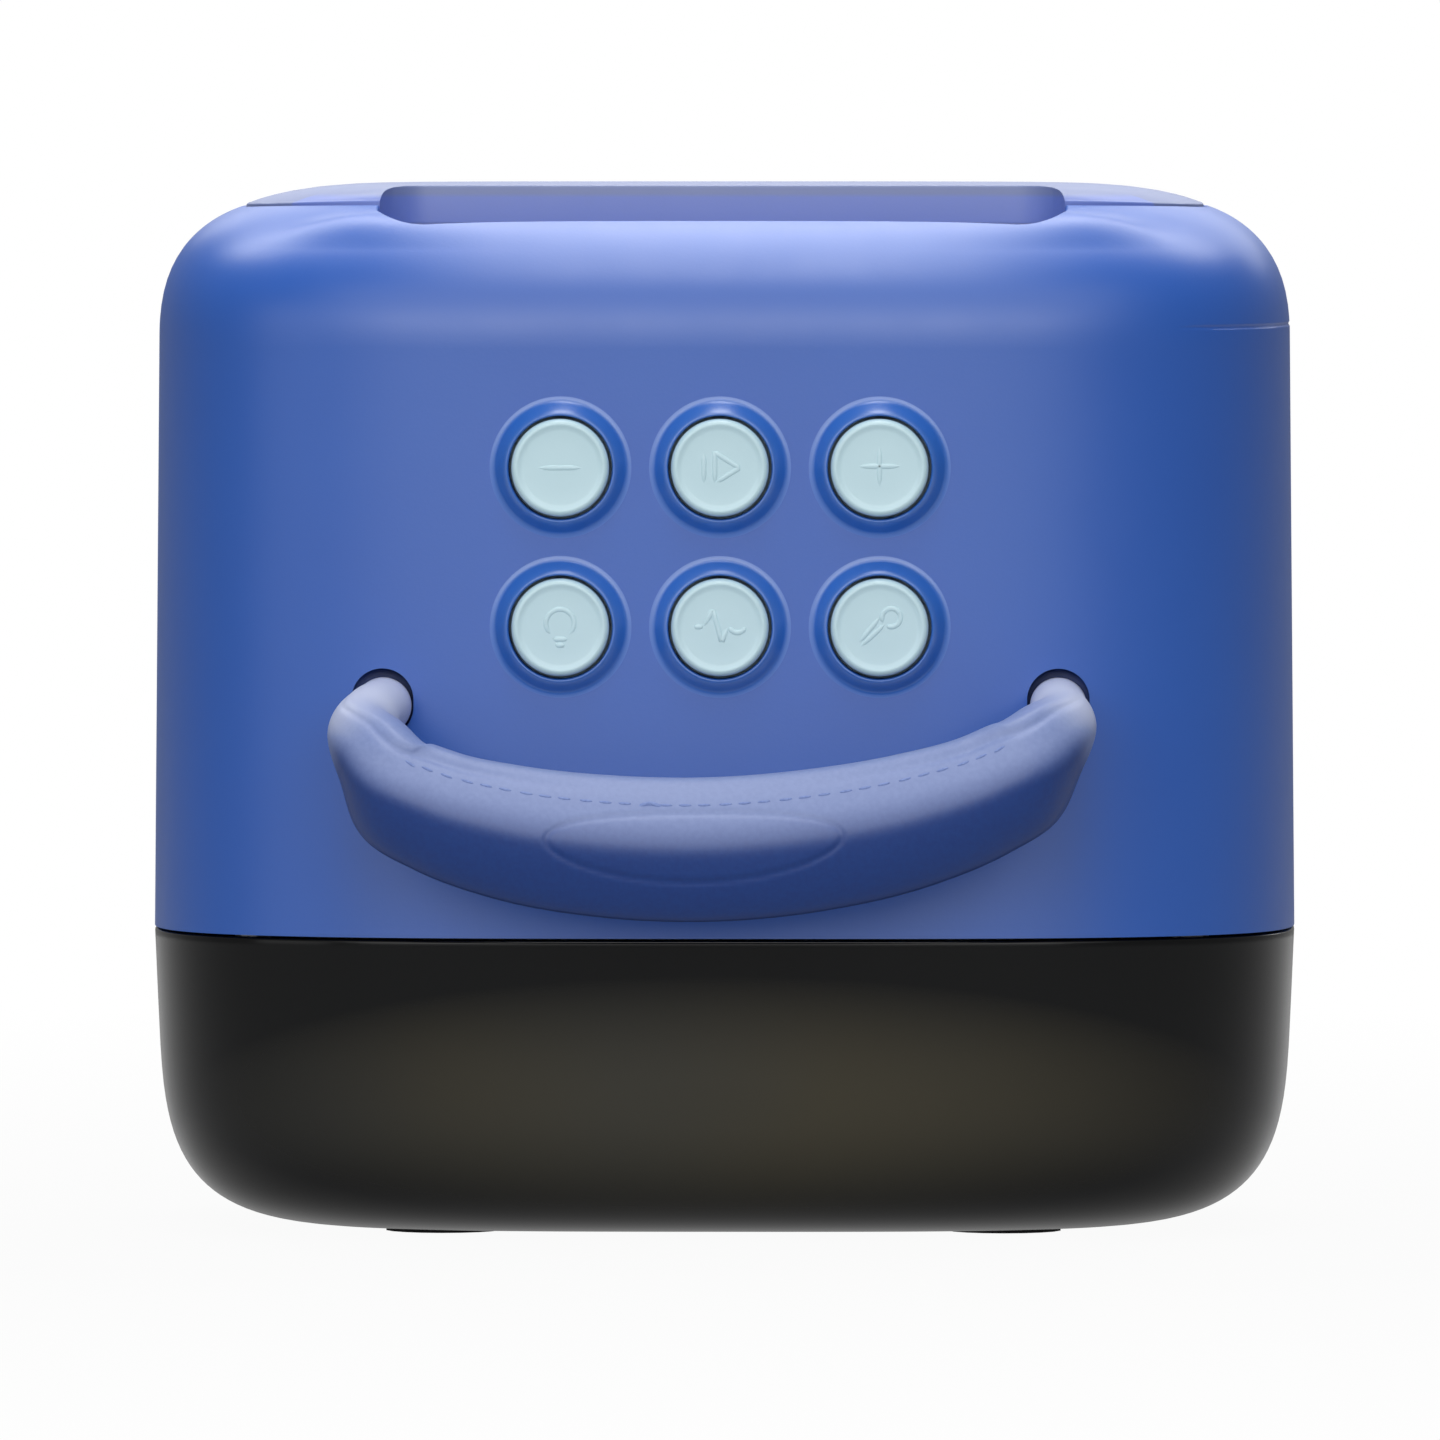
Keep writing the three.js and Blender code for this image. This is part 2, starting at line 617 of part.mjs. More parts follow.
// Centre line from the left hole to the right one, and the section's two half sizes at the same points.
// Each row gives the share of the half span, of the reach and of the drop, then the half sizes.
function handleLine() {
  const stub = handleStubRadius;
  const tall = gripHalfHeight;
  const thick = gripHalfThickness;
  const start = pivotY + eyeRadius * -1 - gap - 0.1;
  const wallFace = frontY;
  const rows = [
    [handleHalfSpan, start, 0, stub, stub],
    [handleHalfSpan, wallFace, 0, stub, stub],
    [handleHalfSpan * 1.013, wallFace - handleReach * 0.28, 0.04, stub * 1.02, stub * 1.02],
    [handleHalfSpan * 1.032, wallFace - handleReach * 0.53, 0.154, stub * 1.14, stub * 1.1],
    [handleHalfSpan * 0.985, wallFace - handleReach * 0.72, 0.308, tall * 0.593, thick * 0.82],
    [handleHalfSpan * 0.921, wallFace - handleReach * 0.86, 0.498, tall * 0.781, thick * 0.91],
    [handleHalfSpan * 0.802, wallFace - handleReach * 0.945, 0.67, tall * 0.869, thick * 0.98],
    [handleHalfSpan * 0.596, wallFace - handleReach * 0.985, 0.831, tall * 0.94, thick],
    [handleHalfSpan * 0.298, wallFace - handleReach, 0.957, tall * 0.988, thick],
  ];
  const middle = [0, wallFace - handleReach, 1, tall, thick];
  const mirrored = rows.map(([x, ...rest]) => [-x, ...rest]);
  const all = [...mirrored, middle, ...rows.reverse()];
  const skewed = (x, share) => share - ((handleSkew * x) / handleHalfSpan) * Math.min(1, share * 2);
  const height = (x, share) => handleHoleHeight - handleDrop * skewed(x, share);
  const belly = (y) => handleBelly * THREE.MathUtils.clamp((wallFace - y) / (handleReach / 2), 0, 1);
  return {
    path: new THREE.CatmullRomCurve3(all.map(([x, y, share]) => new THREE.Vector3(x - belly(y), y, height(x, share)))),
    size: new THREE.CatmullRomCurve3(all.map(([, , , tallHalf, thickHalf]) => (
      new THREE.Vector3(tallHalf, thickHalf, 0)))),
  };
}

// Rings across the handle's line. The section's tall axis stays as upright as the line lets it.
function handleRings(line, stations, sides, sizeAt) {
  const up = new THREE.Vector3(0, 0, 1);
  const rings = [];
  for (let k = 0; k <= stations; k += 1) {
    const t = k / stations;
    const centre = line.path.getPoint(t);
    const along = line.path.getTangent(t);
    const tallAxis = up.clone().addScaledVector(along, -up.dot(along)).normalize();
    const thickAxis = along.clone().cross(tallAxis);
    const { tall, thick } = sizeAt(t);
    const ring = [];
    for (let i = 0; i < sides; i += 1) {
      const angle = (i / sides) * Math.PI * 2;
      ring.push(centre.clone().addScaledVector(tallAxis, tall * Math.cos(angle))
        .addScaledVector(thickAxis, thick * Math.sin(angle)));
    }
    rings.push(ring);
  }
  return rings;
}

// Grip: a soft sleeve with a bore for the core.
function makeGrip() {
  const line = handleLine();
  const stations = 30;
  const sides = 12;
  const bore = handleCoreRadius + gap;
  const outside = handleRings(line, stations, sides, (t) => {
    const size = line.size.getPoint(t);
    return { tall: size.x, thick: size.y };
  });
  const inside = handleRings(line, stations, sides, () => ({ tall: bore, thick: bore }));
  return skinned([...outside, ...inside.reverse()], true);
}

// Core: a bent rod through the grip, with an eye at each end for the pivot pin.
function makeCore() {
  const line = handleLine();
  const rings = handleRings(line, 30, 8, () => ({ tall: handleCoreRadius, thick: handleCoreRadius }));
  let core = solid(skinned(rings));
  const eyeHalf = handleCoreRadius;
  for (const { sign } of handleSides) {
    const x = sign * handleHalfSpan;
    const at = [0, pivotY, handleHoleHeight];
    core = core.add(solid(rod('y', handleCoreRadius, pivotY - eyeRadius - 1, pivotY, [x, 0, handleHoleHeight], 8)));
    core = core.add(solid(rod('x', eyeRadius, x - eyeHalf, x + eyeHalf, at, 18)));
    core = core.subtract(solid(rod('x', pinRadius + pinPlay, x - eyeHalf * 2, x + eyeHalf * 2, at, 12)));
  }
  return geometryOf(core);
}

// Bracket that carries one pivot pin between two cheeks and is screwed to the shell. Its middle is at x = 0.
function makeBracket() {
  const cheekIn = handleCoreRadius + gap;
  const cheekOut = pinLength / 2;
  const z = handleHoleHeight;
  const plateHalf = bracketBossDrop + 3;
  const plateBack = bracketPlateFront + bracketPlateThickness;
  let bracket = solid(box(-cheekOut, cheekOut, bracketPlateFront, plateBack, z - plateHalf, z + plateHalf));
  for (const sign of [-1, 1]) {
    const [x0, x1] = [sign * cheekIn, sign * cheekOut].sort((a, b) => a - b);
    bracket = bracket.add(solid(box(x0, x1, pivotY - bracketNose, bracketPlateFront + 1, z - bracketHalf, z + bracketHalf)));
  }
  const eyeRoom = eyeRadius + 0.5;
  bracket = bracket.subtract(solid(box(-cheekIn, cheekIn, pivotY - 4, plateBack + 1, z - eyeRoom, z + eyeRoom)));
  bracket = bracket.subtract(solid(rod('x', pinRadius + pinPlay, -cheekOut - 1, cheekOut + 1, [0, pivotY, z], 12)));
  for (const up of [-1, 1]) {
    const hole = rod('y', screwRadius + gap, pivotY, plateBack + 1, [0, 0, z + up * bracketBossDrop], 10);
    bracket = bracket.subtract(solid(hole));
  }
  return geometryOf(bracket);
}

// Rear panel: part of the rear skin, with a slotted grille, a ring for the driver and the port openings.
const portHeight = boardHeight + boardThickness + 1.7;
const ports = {
  slider: { x: -28, halfX: 1.8, halfZ: 1.2 },
  card: { x: -11, halfX: 6.5, halfZ: 1.4 },
  usb: { x: 6, halfX: 4.5, halfZ: 1.65 },
  aux: { x: 20, radius: 3 },
};
const driverFront = rearY - panelThickness - 3; // the driver's flange bears on the panel's ring here

function makeRearPanel() {
  const outer = solid(upperSolid(seamHeight, 0));
  let panel = solid(rearPrism(windowShape(-gap, windowCorner - gap))).intersect(outer);
  panel = panel.subtract(solid(upperSolid(seamHeight - 1, panelThickness, topWall / 2)));
  const ring = rod('y', driverRadius + 0.6, driverFront, rearY - panelThickness / 2, [0, 0, driverHeight], 24);
  panel = panel.add(solid(ring));
  const well = rod('y', grilleRadius, driverFront - 1, rearY - panelThickness, [0, 0, driverHeight], 24);
  panel = panel.subtract(solid(well));
  for (let k = 0; k < grilleSlots; k += 1) {
    const offset = (k - (grilleSlots - 1) / 2) * grilleSlotPitch;
    const reach = Math.abs(offset) + grilleSlotHeight / 2;
    const half = Math.sqrt(Math.max(grilleRadius ** 2 - reach ** 2, grilleSlotHeight ** 2)) - 0.4;
    const shape = roundedRect(half, grilleSlotHeight / 2, grilleSlotHeight / 2 - 0.05);
    const slot = prismBack(shape, driverFront, rearY + 2, 2).translate(0, 0, driverHeight + offset);
    panel = panel.subtract(solid(slot));
  }
  const through = [driverFront - 6, rearY + 2];
  const square = (port, left, right) => box(port.x - port.halfX - gap - left, port.x + port.halfX + gap + right,
    ...through, portHeight - port.halfZ - gap, portHeight + port.halfZ + gap);
  const cuts = [
    square(ports.slider, 0, switchTravel),
    square(ports.card, 0, 0),
    square(ports.usb, 0, 0),
    rod('y', ports.aux.radius + gap, ...through, [ports.aux.x, 0, portHeight + 1.3], 16),
  ];
  for (const { x, z } of rearScrews) {
    cuts.push(rod('y', screwRadius + gap, ...through, [x, 0, z], 8));
    cuts.push(rod('y', screwHeadRadius + gap, skinDepth(x) - headSink, rearY + 2, [x, 0, z], 12));
  }
  for (const { x, z } of driverScrews) {
    cuts.push(rod('y', screwRadius + gap, driverFront - 1, driverFront + 3.6, [x, 0, z], 8));
  }
  for (const cut of cuts) panel = panel.subtract(solid(cut));
  return geometryOf(panel);
}

// Driver, facing the rear through the grille
const driverScrewCircle = driverRadius - 2.75;
const driverScrews = [45, 225].map((degrees) => ({
  x: driverScrewCircle * Math.cos(THREE.MathUtils.degToRad(degrees)),
  z: driverHeight + driverScrewCircle * Math.sin(THREE.MathUtils.degToRad(degrees)),
}));
const surroundOuter = driverRadius - 7.2;
const coneOuter = surroundOuter - 2.6;
const driverAxis = (geometry) => outward(geometry).translate(0, driverFront - gap, driverHeight);

// Profiles below give radius and distance behind the flange's front face, which is at 0.
function makeDriverFrame() {
  const rim = surroundOuter + gap;
  const back = driverDepth - magnetLength;
  const profile = [
    [driverRadius, 0], [driverRadius, -driverFlange], [rim + 1.2, -driverFlange], [magnetRadius + 0.5, -back],
    [6, -back], [6, -back + 1.6], [magnetRadius - 1.2, -back + 1.6], [rim, -driverFlange - 0.2], [rim, 0],
    [driverRadius, 0],
  ];
  let frame = solid(driverAxis(turned(profile, 24)));
  for (const { x, z } of driverScrews) {
    frame = frame.subtract(solid(rod('y', screwRadius + gap, driverFront - 6, driverFront + 1, [x, 0, z], 8)));
  }
  return geometryOf(frame);
}

function makeMagnet() {
  const front = -(driverDepth - magnetLength) - gap;
  const profile = [[0, front], [magnetRadius, front], [magnetRadius, front - magnetLength + 1.5],
    [magnetRadius - 1.5, front - magnetLength], [0, front - magnetLength]];
  return driverAxis(turned(profile, 24));
}

function makeCone() {
  const profile = [[6.5, -8.2], [coneOuter, -1.6], [coneOuter, -1], [6.5, -7.4], [6.5, -8.2]];
  return driverAxis(turned(profile, 24));
}

function makeSurround() {
  const middle = (coneOuter + surroundOuter) / 2;
  const inner = coneOuter + gap;
  const profile = [[inner, -1.6], [surroundOuter, -1.6], [surroundOuter, -0.9], [middle + 0.8, 0.4],
    [middle - 0.4, 0.4], [inner, -0.9], [inner, -1.6]];
  return driverAxis(turned(profile, 24));
}

function makeDustCap() {
  const profile = [[0, -8], [6.2, -8], [6.2, -6.9], [4.4, -5.7], [0, -5]];
  return driverAxis(turned(profile, 20));
}

// Base: bowl, diffuser, light board and chassis plate

function makeBowl() {
  const outer = solid(lowerSolid(seamHeight - gap / 2));
  let bowl = outer.subtract(solid(lowerSolid(seamHeight + 1, bowlWall)));
  for (const { x, y } of feet) {
    bowl = bowl.add(solid(rod('z', postRadius + 1.6, bowlFloor - 0.6, padTop, [x, y], 12)));
    bowl = bowl.subtract(solid(rod('z', footRadius + gap, -1, footThickness + gap, [x, y], 18)));
    bowl = bowl.subtract(solid(rod('z', screwHeadRadius + gap, -1, headRoof, [x, y], 12)));
    bowl = bowl.subtract(solid(rod('z', screwRadius + gap, -1, padTop + 1, [x, y], 8)));
  }
  return geometryOf(bowl);
}

const ledBoardTop = chassisBottom - 0.9 - gap;
const ledBoardBottom = ledBoardTop - ledBoardThickness;
const diffuserTop = ledBoardBottom - gap;

function makeDiffuser() {
  const outer = solid(lowerSolid(diffuserTop, diffuserInset));
  let diffuser = outer.subtract(solid(lowerSolid(diffuserTop + 1, diffuserInset + diffuserWall)));
  for (const { x, y } of feet) {
    diffuser = diffuser.subtract(solid(rod('z', postRadius + gap, 0, diffuserTop, [x, y], 12)));
  }
  return geometryOf(diffuser);
}

function makeLedBoard() {
  const half = lowerHalf(diffuserTop, diffuserInset);
  const outline = planRing(half.x, half.y, 0).map((p) => new THREE.Vector2(p.x, p.y));
  let board = solid(prism(new THREE.Shape(outline), ledBoardBottom, ledBoardTop));
  const places = [-2, -1, 0, 1, 2].flatMap((k) => [-1, 1].map((s) => ({ x: (k * half.x) / 3.4, y: s * half.y * 0.72 })));
  for (const { x, y } of places) {
    board = board.add(solid(box(x - 2.5, x + 2.5, y - 2.5, y + 2.5, ledBoardBottom - ledHeight, ledBoardBottom + 0.5)));
  }
  for (const { x, y } of feet) {
    board = board.subtract(solid(rod('z', postRadius + gap, 0, seamHeight + 4, [x, y], 12)));
  }
  return geometryOf(board);
}

function makeChassis() {
  const half = upperHalf(chassisTop, wall + gap * 1.3);
  const outline = planRing(half.x, half.y, 0, aroundInside).map((p) => new THREE.Vector2(p.x, p.y));
  let plate = solid(prism(new THREE.Shape(outline), chassisBottom, chassisTop));
  for (const { x, y } of feet) {
    plate = plate.add(solid(rod('z', postRadius, padTop + gap, chassisBottom + 1, [x, y], 12)));
    plate = plate.add(solid(rod('z', postRadius + 1.6, chassisBottom - 0.9, chassisBottom + 1, [x, y], 12)));
    plate = plate.subtract(solid(rod('z', screwRadius + gap, 0, padTop + postHoleDepth, [x, y], 8)));
  }
  for (const { x, y } of chassisScrews) {
    plate = plate.subtract(solid(rod('z', screwRadius + gap, chassisBottom - 1, chassisTop + 1, [x, y], 8)));
  }
  for (const { x, y } of boardPosts) {
    plate = plate.add(solid(rod('z', boardPostRadius, chassisTop - 1, boardHeight - gap, [x, y], 12)));
    plate = plate.subtract(solid(rod('z', screwRadius + gap, chassisBottom + 1, boardHeight, [x, y], 8)));
  }
  return geometryOf(plate);
}

// Main board with its larger components, the body of the slide switch on its rear edge and two screw holes.
const switchFront = boardRear + 1.6;
function makeMainBoard() {
  const top = boardHeight + boardThickness;
  let board = solid(box(-boardHalfWidth, boardHalfWidth, boardFront, boardRear, boardHeight, top));
  const chips = [
    [-22, -10, 18, 30, 1.4], [-2, 10, 17, 27, 1.2], [17, 29, 15, 25, 5.5], [-33, -27, 26, 34, 4], [28, 33, 27, 32, 6],
  ];
  for (const [x0, x1, y0, y1, height] of chips) board = board.add(solid(box(x0, x1, y0, y1, top - 0.5, top + height)));
  const middle = ports.slider.x + switchTravel / 2;
  board = board.add(solid(box(middle - 6, middle + 6, boardRear - 4, switchFront, top - 0.5, top + 3.6)));
  for (const { x, y } of boardPosts) {
    board = board.subtract(solid(rod('z', screwRadius + gap, boardHeight - 1, top + 1, [x, y], 8)));
  }
  return geometryOf(board);
}

const boardTop = boardHeight + boardThickness + gap;

function makeUsbSocket() {
  const { x, halfX, halfZ } = ports.usb;
  const low = portHeight - halfZ + gap;
  const high = portHeight + halfZ;
  let socket = solid(box(x - halfX, x + halfX, boardRear - 4.5, rearY - 2, low - 0.1, high));
  socket = socket.subtract(solid(box(x - halfX + 0.5, x + halfX - 0.5, rearY - 7, rearY, low + 0.3, high - 0.4)));
  socket = socket.add(solid(box(x - 3.2, x + 3.2, rearY - 8, rearY - 3, portHeight - 0.2, portHeight + 0.5)));
  return geometryOf(socket);
}

function makeCardSocket() {
  const { x, halfX, halfZ } = ports.card;
  const low = boardTop;
  let socket = solid(box(x - halfX, x + halfX, boardRear - 10, rearY - 3, low, portHeight + halfZ - gap));
  socket = socket.subtract(solid(box(x - 5.8, x + 5.8, boardRear - 6, rearY, portHeight - 0.4, portHeight + 0.5)));
  return geometryOf(socket);
}

function makeAuxSocket() {
  const { x, radius } = ports.aux;
  const z = portHeight + 1.3;
  let socket = solid(box(x - 3.3, x + 3.3, boardRear - 9, boardRear + 2, boardTop, boardTop + 5.6));
  socket = socket.add(solid(rod('y', radius - 0.1, boardRear, rearY - 2.2, [x, 0, z], 16)));
  socket = socket.subtract(solid(rod('y', 1.75, boardRear - 6, rearY, [x, 0, z], 12)));
  return geometryOf(socket);
}

// The slide switch's knob, which a finger moves through the panel's window.
function makeSliderKnob() {
  const { x, halfX, halfZ } = ports.slider;
  const front = skinDepth(Math.abs(x)) - 0.6;
  return box(x - halfX, x + halfX, switchFront + gap, front, portHeight - halfZ, portHeight + halfZ);
}

// Battery in its cradle on the chassis plate
const cellHeight = chassisTop + gap + 2 + gap + cellRadius;

function makeCell() {
  const body = solid(rod('x', cellRadius, -cellLength / 2, cellLength / 2, [0, cellY, cellHeight], 24));
  const nub = rod('x', 3, cellLength / 2 - 1, cellLength / 2 + 1.2, [0, cellY, cellHeight], 12);
  return geometryOf(body.add(solid(nub)));
}

function makeCradle() {
  const half = cellLength / 2 + 3.2;
  const side = cellRadius + 2;
  const bottom = chassisTop + gap;
  let cradle = solid(box(-half, half, cellY - side, cellY + side, bottom, cellHeight + 1));
  const hollow = rod('x', cellRadius + gap, -cellLength / 2 - gap, cellLength / 2 + 1.2 + gap,
    [0, cellY, cellHeight], 24);
  const mouth = box(-cellLength / 2 - gap, cellLength / 2 + 1.2 + gap, cellY - cellRadius - gap,
    cellY + cellRadius + gap, cellHeight, cellHeight + 5);
  cradle = cradle.subtract(solid(hollow)).subtract(solid(mouth));
  return geometryOf(cradle);
}

// Screw with its tip along +Z and its head's top face at z = 0.
function screwGeometry(length) {
  const profile = [[0, 0], [screwHeadRadius, 0], [screwHeadRadius, screwHeadHeight * 0.6],
    [screwRadius, screwHeadHeight], [screwRadius, length - 1], [0, length]];
  return turned(profile, 8).rotateX(Math.PI / 2);
}

// Assembly

const product = new THREE.Group();
const frontGroup = new THREE.Group();
const handleGroup = new THREE.Group();
const driverGroup = new THREE.Group();
const baseGroup = new THREE.Group();
const electronics = new THREE.Group();
product.add(frontGroup, handleGroup, driverGroup, baseGroup, electronics);

function addMesh(group, name, geometry, material) {
  const mesh = new THREE.Mesh(geometry, material);
  mesh.name = name;
  group.add(mesh);
  return mesh;
}

addMesh(product, 'body_shell', makeShell(), paint.shell);
addMesh(product, 'top_deck', makeDeck(), paint.trim);
addMesh(product, 'phone_tray', makeTray(), paint.trim);
addMesh(product, 'rear_panel', makeRearPanel(), paint.shell);

for (const { name, x, z } of buttonPlaces) {
  addMesh(frontGroup, name, makeButton(), paint.cap).position.set(x, 0, z);
}
addMesh(frontGroup, 'keypad_mat', makeMat(), paint.rubber);
addMesh(frontGroup, 'key_board', makeKeyBoard(), paint.board);
keyScrews.forEach(({ x, z }, i) => {
  const screw = addMesh(frontGroup, `key_board_screw_${i + 1}`, screwGeometry(8), paint.steel);
  screw.rotation.x = Math.PI / 2;
  screw.position.set(x, keyBoardFront + keyBoardThickness + gap + screwHeadHeight, z);
});

addMesh(handleGroup, 'handle_grip', makeGrip(), paint.grip);
addMesh(handleGroup, 'handle_core', makeCore(), paint.dark);
for (const { side, sign } of handleSides) {
  addMesh(handleGroup, `handle_bracket_${side}`, makeBracket(), paint.shell).position.x = sign * handleHalfSpan;
  const pin = rod('x', pinRadius, -pinLength / 2, pinLength / 2, [0, pivotY, handleHoleHeight], 14);
  addMesh(handleGroup, `handle_pin_${side}`, pin, paint.steel).position.x = sign * handleHalfSpan;
  [-1, 1].forEach((up, i) => {
    const level = i === 0 ? 'lower' : 'upper';
    const screw = addMesh(handleGroup, `bracket_screw_${side}_${level}`, screwGeometry(6.4), paint.steel);
    screw.rotation.x = Math.PI / 2;
    const head = bracketPlateFront + bracketPlateThickness + gap + screwHeadHeight;
    screw.position.set(sign * handleHalfSpan, head, handleHoleHeight + up * bracketBossDrop);
  });
}

addMesh(driverGroup, 'driver_frame', makeDriverFrame(), paint.dark);
addMesh(driverGroup, 'driver_magnet', makeMagnet(), paint.steel);
addMesh(driverGroup, 'driver_cone', makeCone(), paint.paper);
addMesh(driverGroup, 'driver_surround', makeSurround(), paint.rubber);
addMesh(driverGroup, 'driver_dust_cap', makeDustCap(), paint.paper);
driverScrews.forEach(({ x, z }, i) => {
  const screw = addMesh(driverGroup, `driver_screw_${i + 1}`, screwGeometry(6), paint.steel);
  screw.rotation.x = -Math.PI / 2;
  screw.position.set(x, driverFront - gap - driverFlange - gap - screwHeadHeight, z);
});
rearScrews.forEach(({ x, z }, i) => {
  const screw = addMesh(driverGroup, `rear_screw_${i + 1}`, screwGeometry(6), paint.steel);
  screw.rotation.x = Math.PI / 2;
  screw.position.set(x, skinDepth(x) - headSink + gap + screwHeadHeight, z);
});

addMesh(baseGroup, 'light_bowl', makeBowl(), paint.smoked);
addMesh(baseGroup, 'light_diffuser', makeDiffuser(), paint.milky);
addMesh(baseGroup, 'led_board', makeLedBoard(), paint.milky);
addMesh(baseGroup, 'chassis_plate', makeChassis(), paint.dark);
feet.forEach(({ x, y }, i) => {
  addMesh(baseGroup, `foot_${i + 1}`, rod('z', footRadius, 0, footThickness, [x, y], 18), paint.rubber);
  const screw = addMesh(baseGroup, `bowl_screw_${i + 1}`, screwGeometry(12), paint.steel);
  screw.position.set(x, y, headRoof - gap - screwHeadHeight);
});
chassisScrews.forEach(({ x, y }, i) => {
  const screw = addMesh(baseGroup, `chassis_screw_${i + 1}`, screwGeometry(13), paint.steel);
  screw.position.set(x, y, chassisBottom - gap - screwHeadHeight);
});

addMesh(electronics, 'main_board', makeMainBoard(), paint.board);
boardPosts.forEach(({ x, y }, i) => {
  const screw = addMesh(electronics, `board_screw_${i + 1}`, screwGeometry(6.4), paint.steel);
  screw.rotation.x = Math.PI;
  screw.position.set(x, y, boardTop + screwHeadHeight);
});
addMesh(electronics, 'usb_socket', makeUsbSocket(), paint.steel);
addMesh(electronics, 'card_socket', makeCardSocket(), paint.steel);
addMesh(electronics, 'aux_socket', makeAuxSocket(), paint.dark);
addMesh(electronics, 'power_slider', makeSliderKnob(), paint.cap);
addMesh(electronics, 'battery_cell', makeCell(), paint.cell);
addMesh(electronics, 'battery_cradle', makeCradle(), paint.dark);

// The origin lies on the table, under the middle of the whole outline.
product.updateMatrixWorld(true);
const outlineBox = new THREE.Box3().setFromObject(product, true);
product.position.y = -(outlineBox.min.y + outlineBox.max.y) / 2;

export default product;
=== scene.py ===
# %% [markdown]
# # A small karaoke machine
# The object is a rounded box that fits in two hands: a satin blue shell over a smoked bowl that lights up.
# Six round buttons and a soft carrying handle are on its front, and a slot for a phone runs across its top.
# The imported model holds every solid. This lesson makes the surfaces that the eye meets, to the same sizes.

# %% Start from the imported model
import json
import math
import bmesh
import bpy
import numpy as np
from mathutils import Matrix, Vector


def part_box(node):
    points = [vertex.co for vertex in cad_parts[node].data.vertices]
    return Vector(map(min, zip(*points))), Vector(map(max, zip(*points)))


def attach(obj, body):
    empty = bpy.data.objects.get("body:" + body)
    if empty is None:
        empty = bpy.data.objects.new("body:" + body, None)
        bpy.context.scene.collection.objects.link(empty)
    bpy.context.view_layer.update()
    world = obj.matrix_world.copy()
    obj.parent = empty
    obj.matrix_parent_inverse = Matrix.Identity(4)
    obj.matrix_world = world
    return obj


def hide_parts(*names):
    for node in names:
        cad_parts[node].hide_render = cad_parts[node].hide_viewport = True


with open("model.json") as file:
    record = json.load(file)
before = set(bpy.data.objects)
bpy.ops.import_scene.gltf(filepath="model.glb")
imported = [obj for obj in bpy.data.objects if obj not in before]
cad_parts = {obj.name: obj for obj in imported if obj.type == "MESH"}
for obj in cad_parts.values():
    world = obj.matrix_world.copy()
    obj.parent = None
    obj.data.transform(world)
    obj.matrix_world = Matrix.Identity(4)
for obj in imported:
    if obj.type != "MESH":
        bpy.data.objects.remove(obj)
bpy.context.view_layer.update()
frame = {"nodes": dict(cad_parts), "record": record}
MM = 0.001
bowl_low, bowl_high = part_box("light_bowl")
BODY_Y = 500 * (bowl_low[1] + bowl_high[1])
BODY_MIDDLE = [0, BODY_Y, 0]
print("pieces in the packed model:", len(frame["nodes"]), "body centre at y =", round(BODY_Y, 2), "mm")

# %% [markdown]
# ## Sheets of points
# A smooth moulding is easiest to describe as a sheet of points in rows and columns, because a formula gives
# all the points at once. Each row is a closed ring, and four neighbouring points make a face. Sizes are in
# millimetres, measured from the body's middle.

# %% From points to a mesh
def sheet_parts(rings, wrapped=False):
    """Points and faces of a sheet. Its last row joins its first, or else a fan closes each end row."""
    grid = np.stack(rings)
    rows, columns = grid.shape[:2]
    points = grid.reshape(-1, 3)
    r, c = np.meshgrid(np.arange(rows if wrapped else rows - 1), np.arange(columns), indexing="ij")
    down = (r + 1) % rows
    right = (c + 1) % columns
    corners = [r * columns + c, r * columns + right, down * columns + right, down * columns + c]
    faces = np.stack(corners, axis=-1).reshape(-1, 4).tolist()
    for row in () if wrapped else (0, rows - 1):
        ring = np.arange(columns) + row * columns
        tip = len(points)
        points = np.vstack([points, grid[row].mean(axis=0)])
        faces += np.stack([ring, np.roll(ring, -1), np.full(columns, tip)], axis=-1).tolist()
    return points, faces


def joined_parts(parts):
    """Several sets of points and faces as one."""
    points = []
    faces = []
    count = 0
    for part_points, part_faces in parts:
        points.append(part_points)
        faces += [[index + count for index in face] for face in part_faces]
        count += len(part_points)
    return np.vstack(points), faces


def mesh_object(name, parts, finish=None, smooth_angle=35.0):
    """An object in metres with its faces turned outwards, its sharp edges marked by angle and its finish."""
    mesh = bpy.data.meshes.new(name)
    mesh.from_pydata(((parts[0] + BODY_MIDDLE) * MM).tolist(), [], parts[1])
    work = bmesh.new()
    work.from_mesh(mesh)
    bmesh.ops.remove_doubles(work, verts=work.verts, dist=1e-7)
    bmesh.ops.recalc_face_normals(work, faces=work.faces)
    work.to_mesh(mesh)
    work.free()
    mesh.shade_smooth()
    mesh.set_sharp_from_angle(angle=math.radians(smooth_angle))
    if finish:
        mesh.materials.append(finish.material)
    obj = bpy.data.objects.new(name, mesh)
    bpy.context.scene.collection.objects.link(obj)
    return obj


# %% Curves that come back
def bell(value, centre, width):
    """exp(-((value - centre) / width)^2)"""
    return np.exp(-(((value - centre) / width) ** 2))


def smooth_step(value):
    """0 below 0, 1 above 1 and 3 v^2 - 2 v^3 in between."""
    value = np.clip(value, 0, 1)
    return value * value * (3 - 2 * value)


def signed_power(value, exponent):
    """|v|^n with the sign of v."""
    return np.sign(value) * np.abs(value) ** exponent


def unit(vectors):
    """The same directions with length 1."""
    return vectors / np.linalg.norm(vectors, axis=-1, keepdims=True)


def softened(values, axis, times):
    """Values round a ring, averaged with their neighbours a number of times."""
    for _ in range(times):
        values = (np.roll(values, 1, axis=axis) + 2 * values + np.roll(values, -1, axis=axis)) / 4
    return values


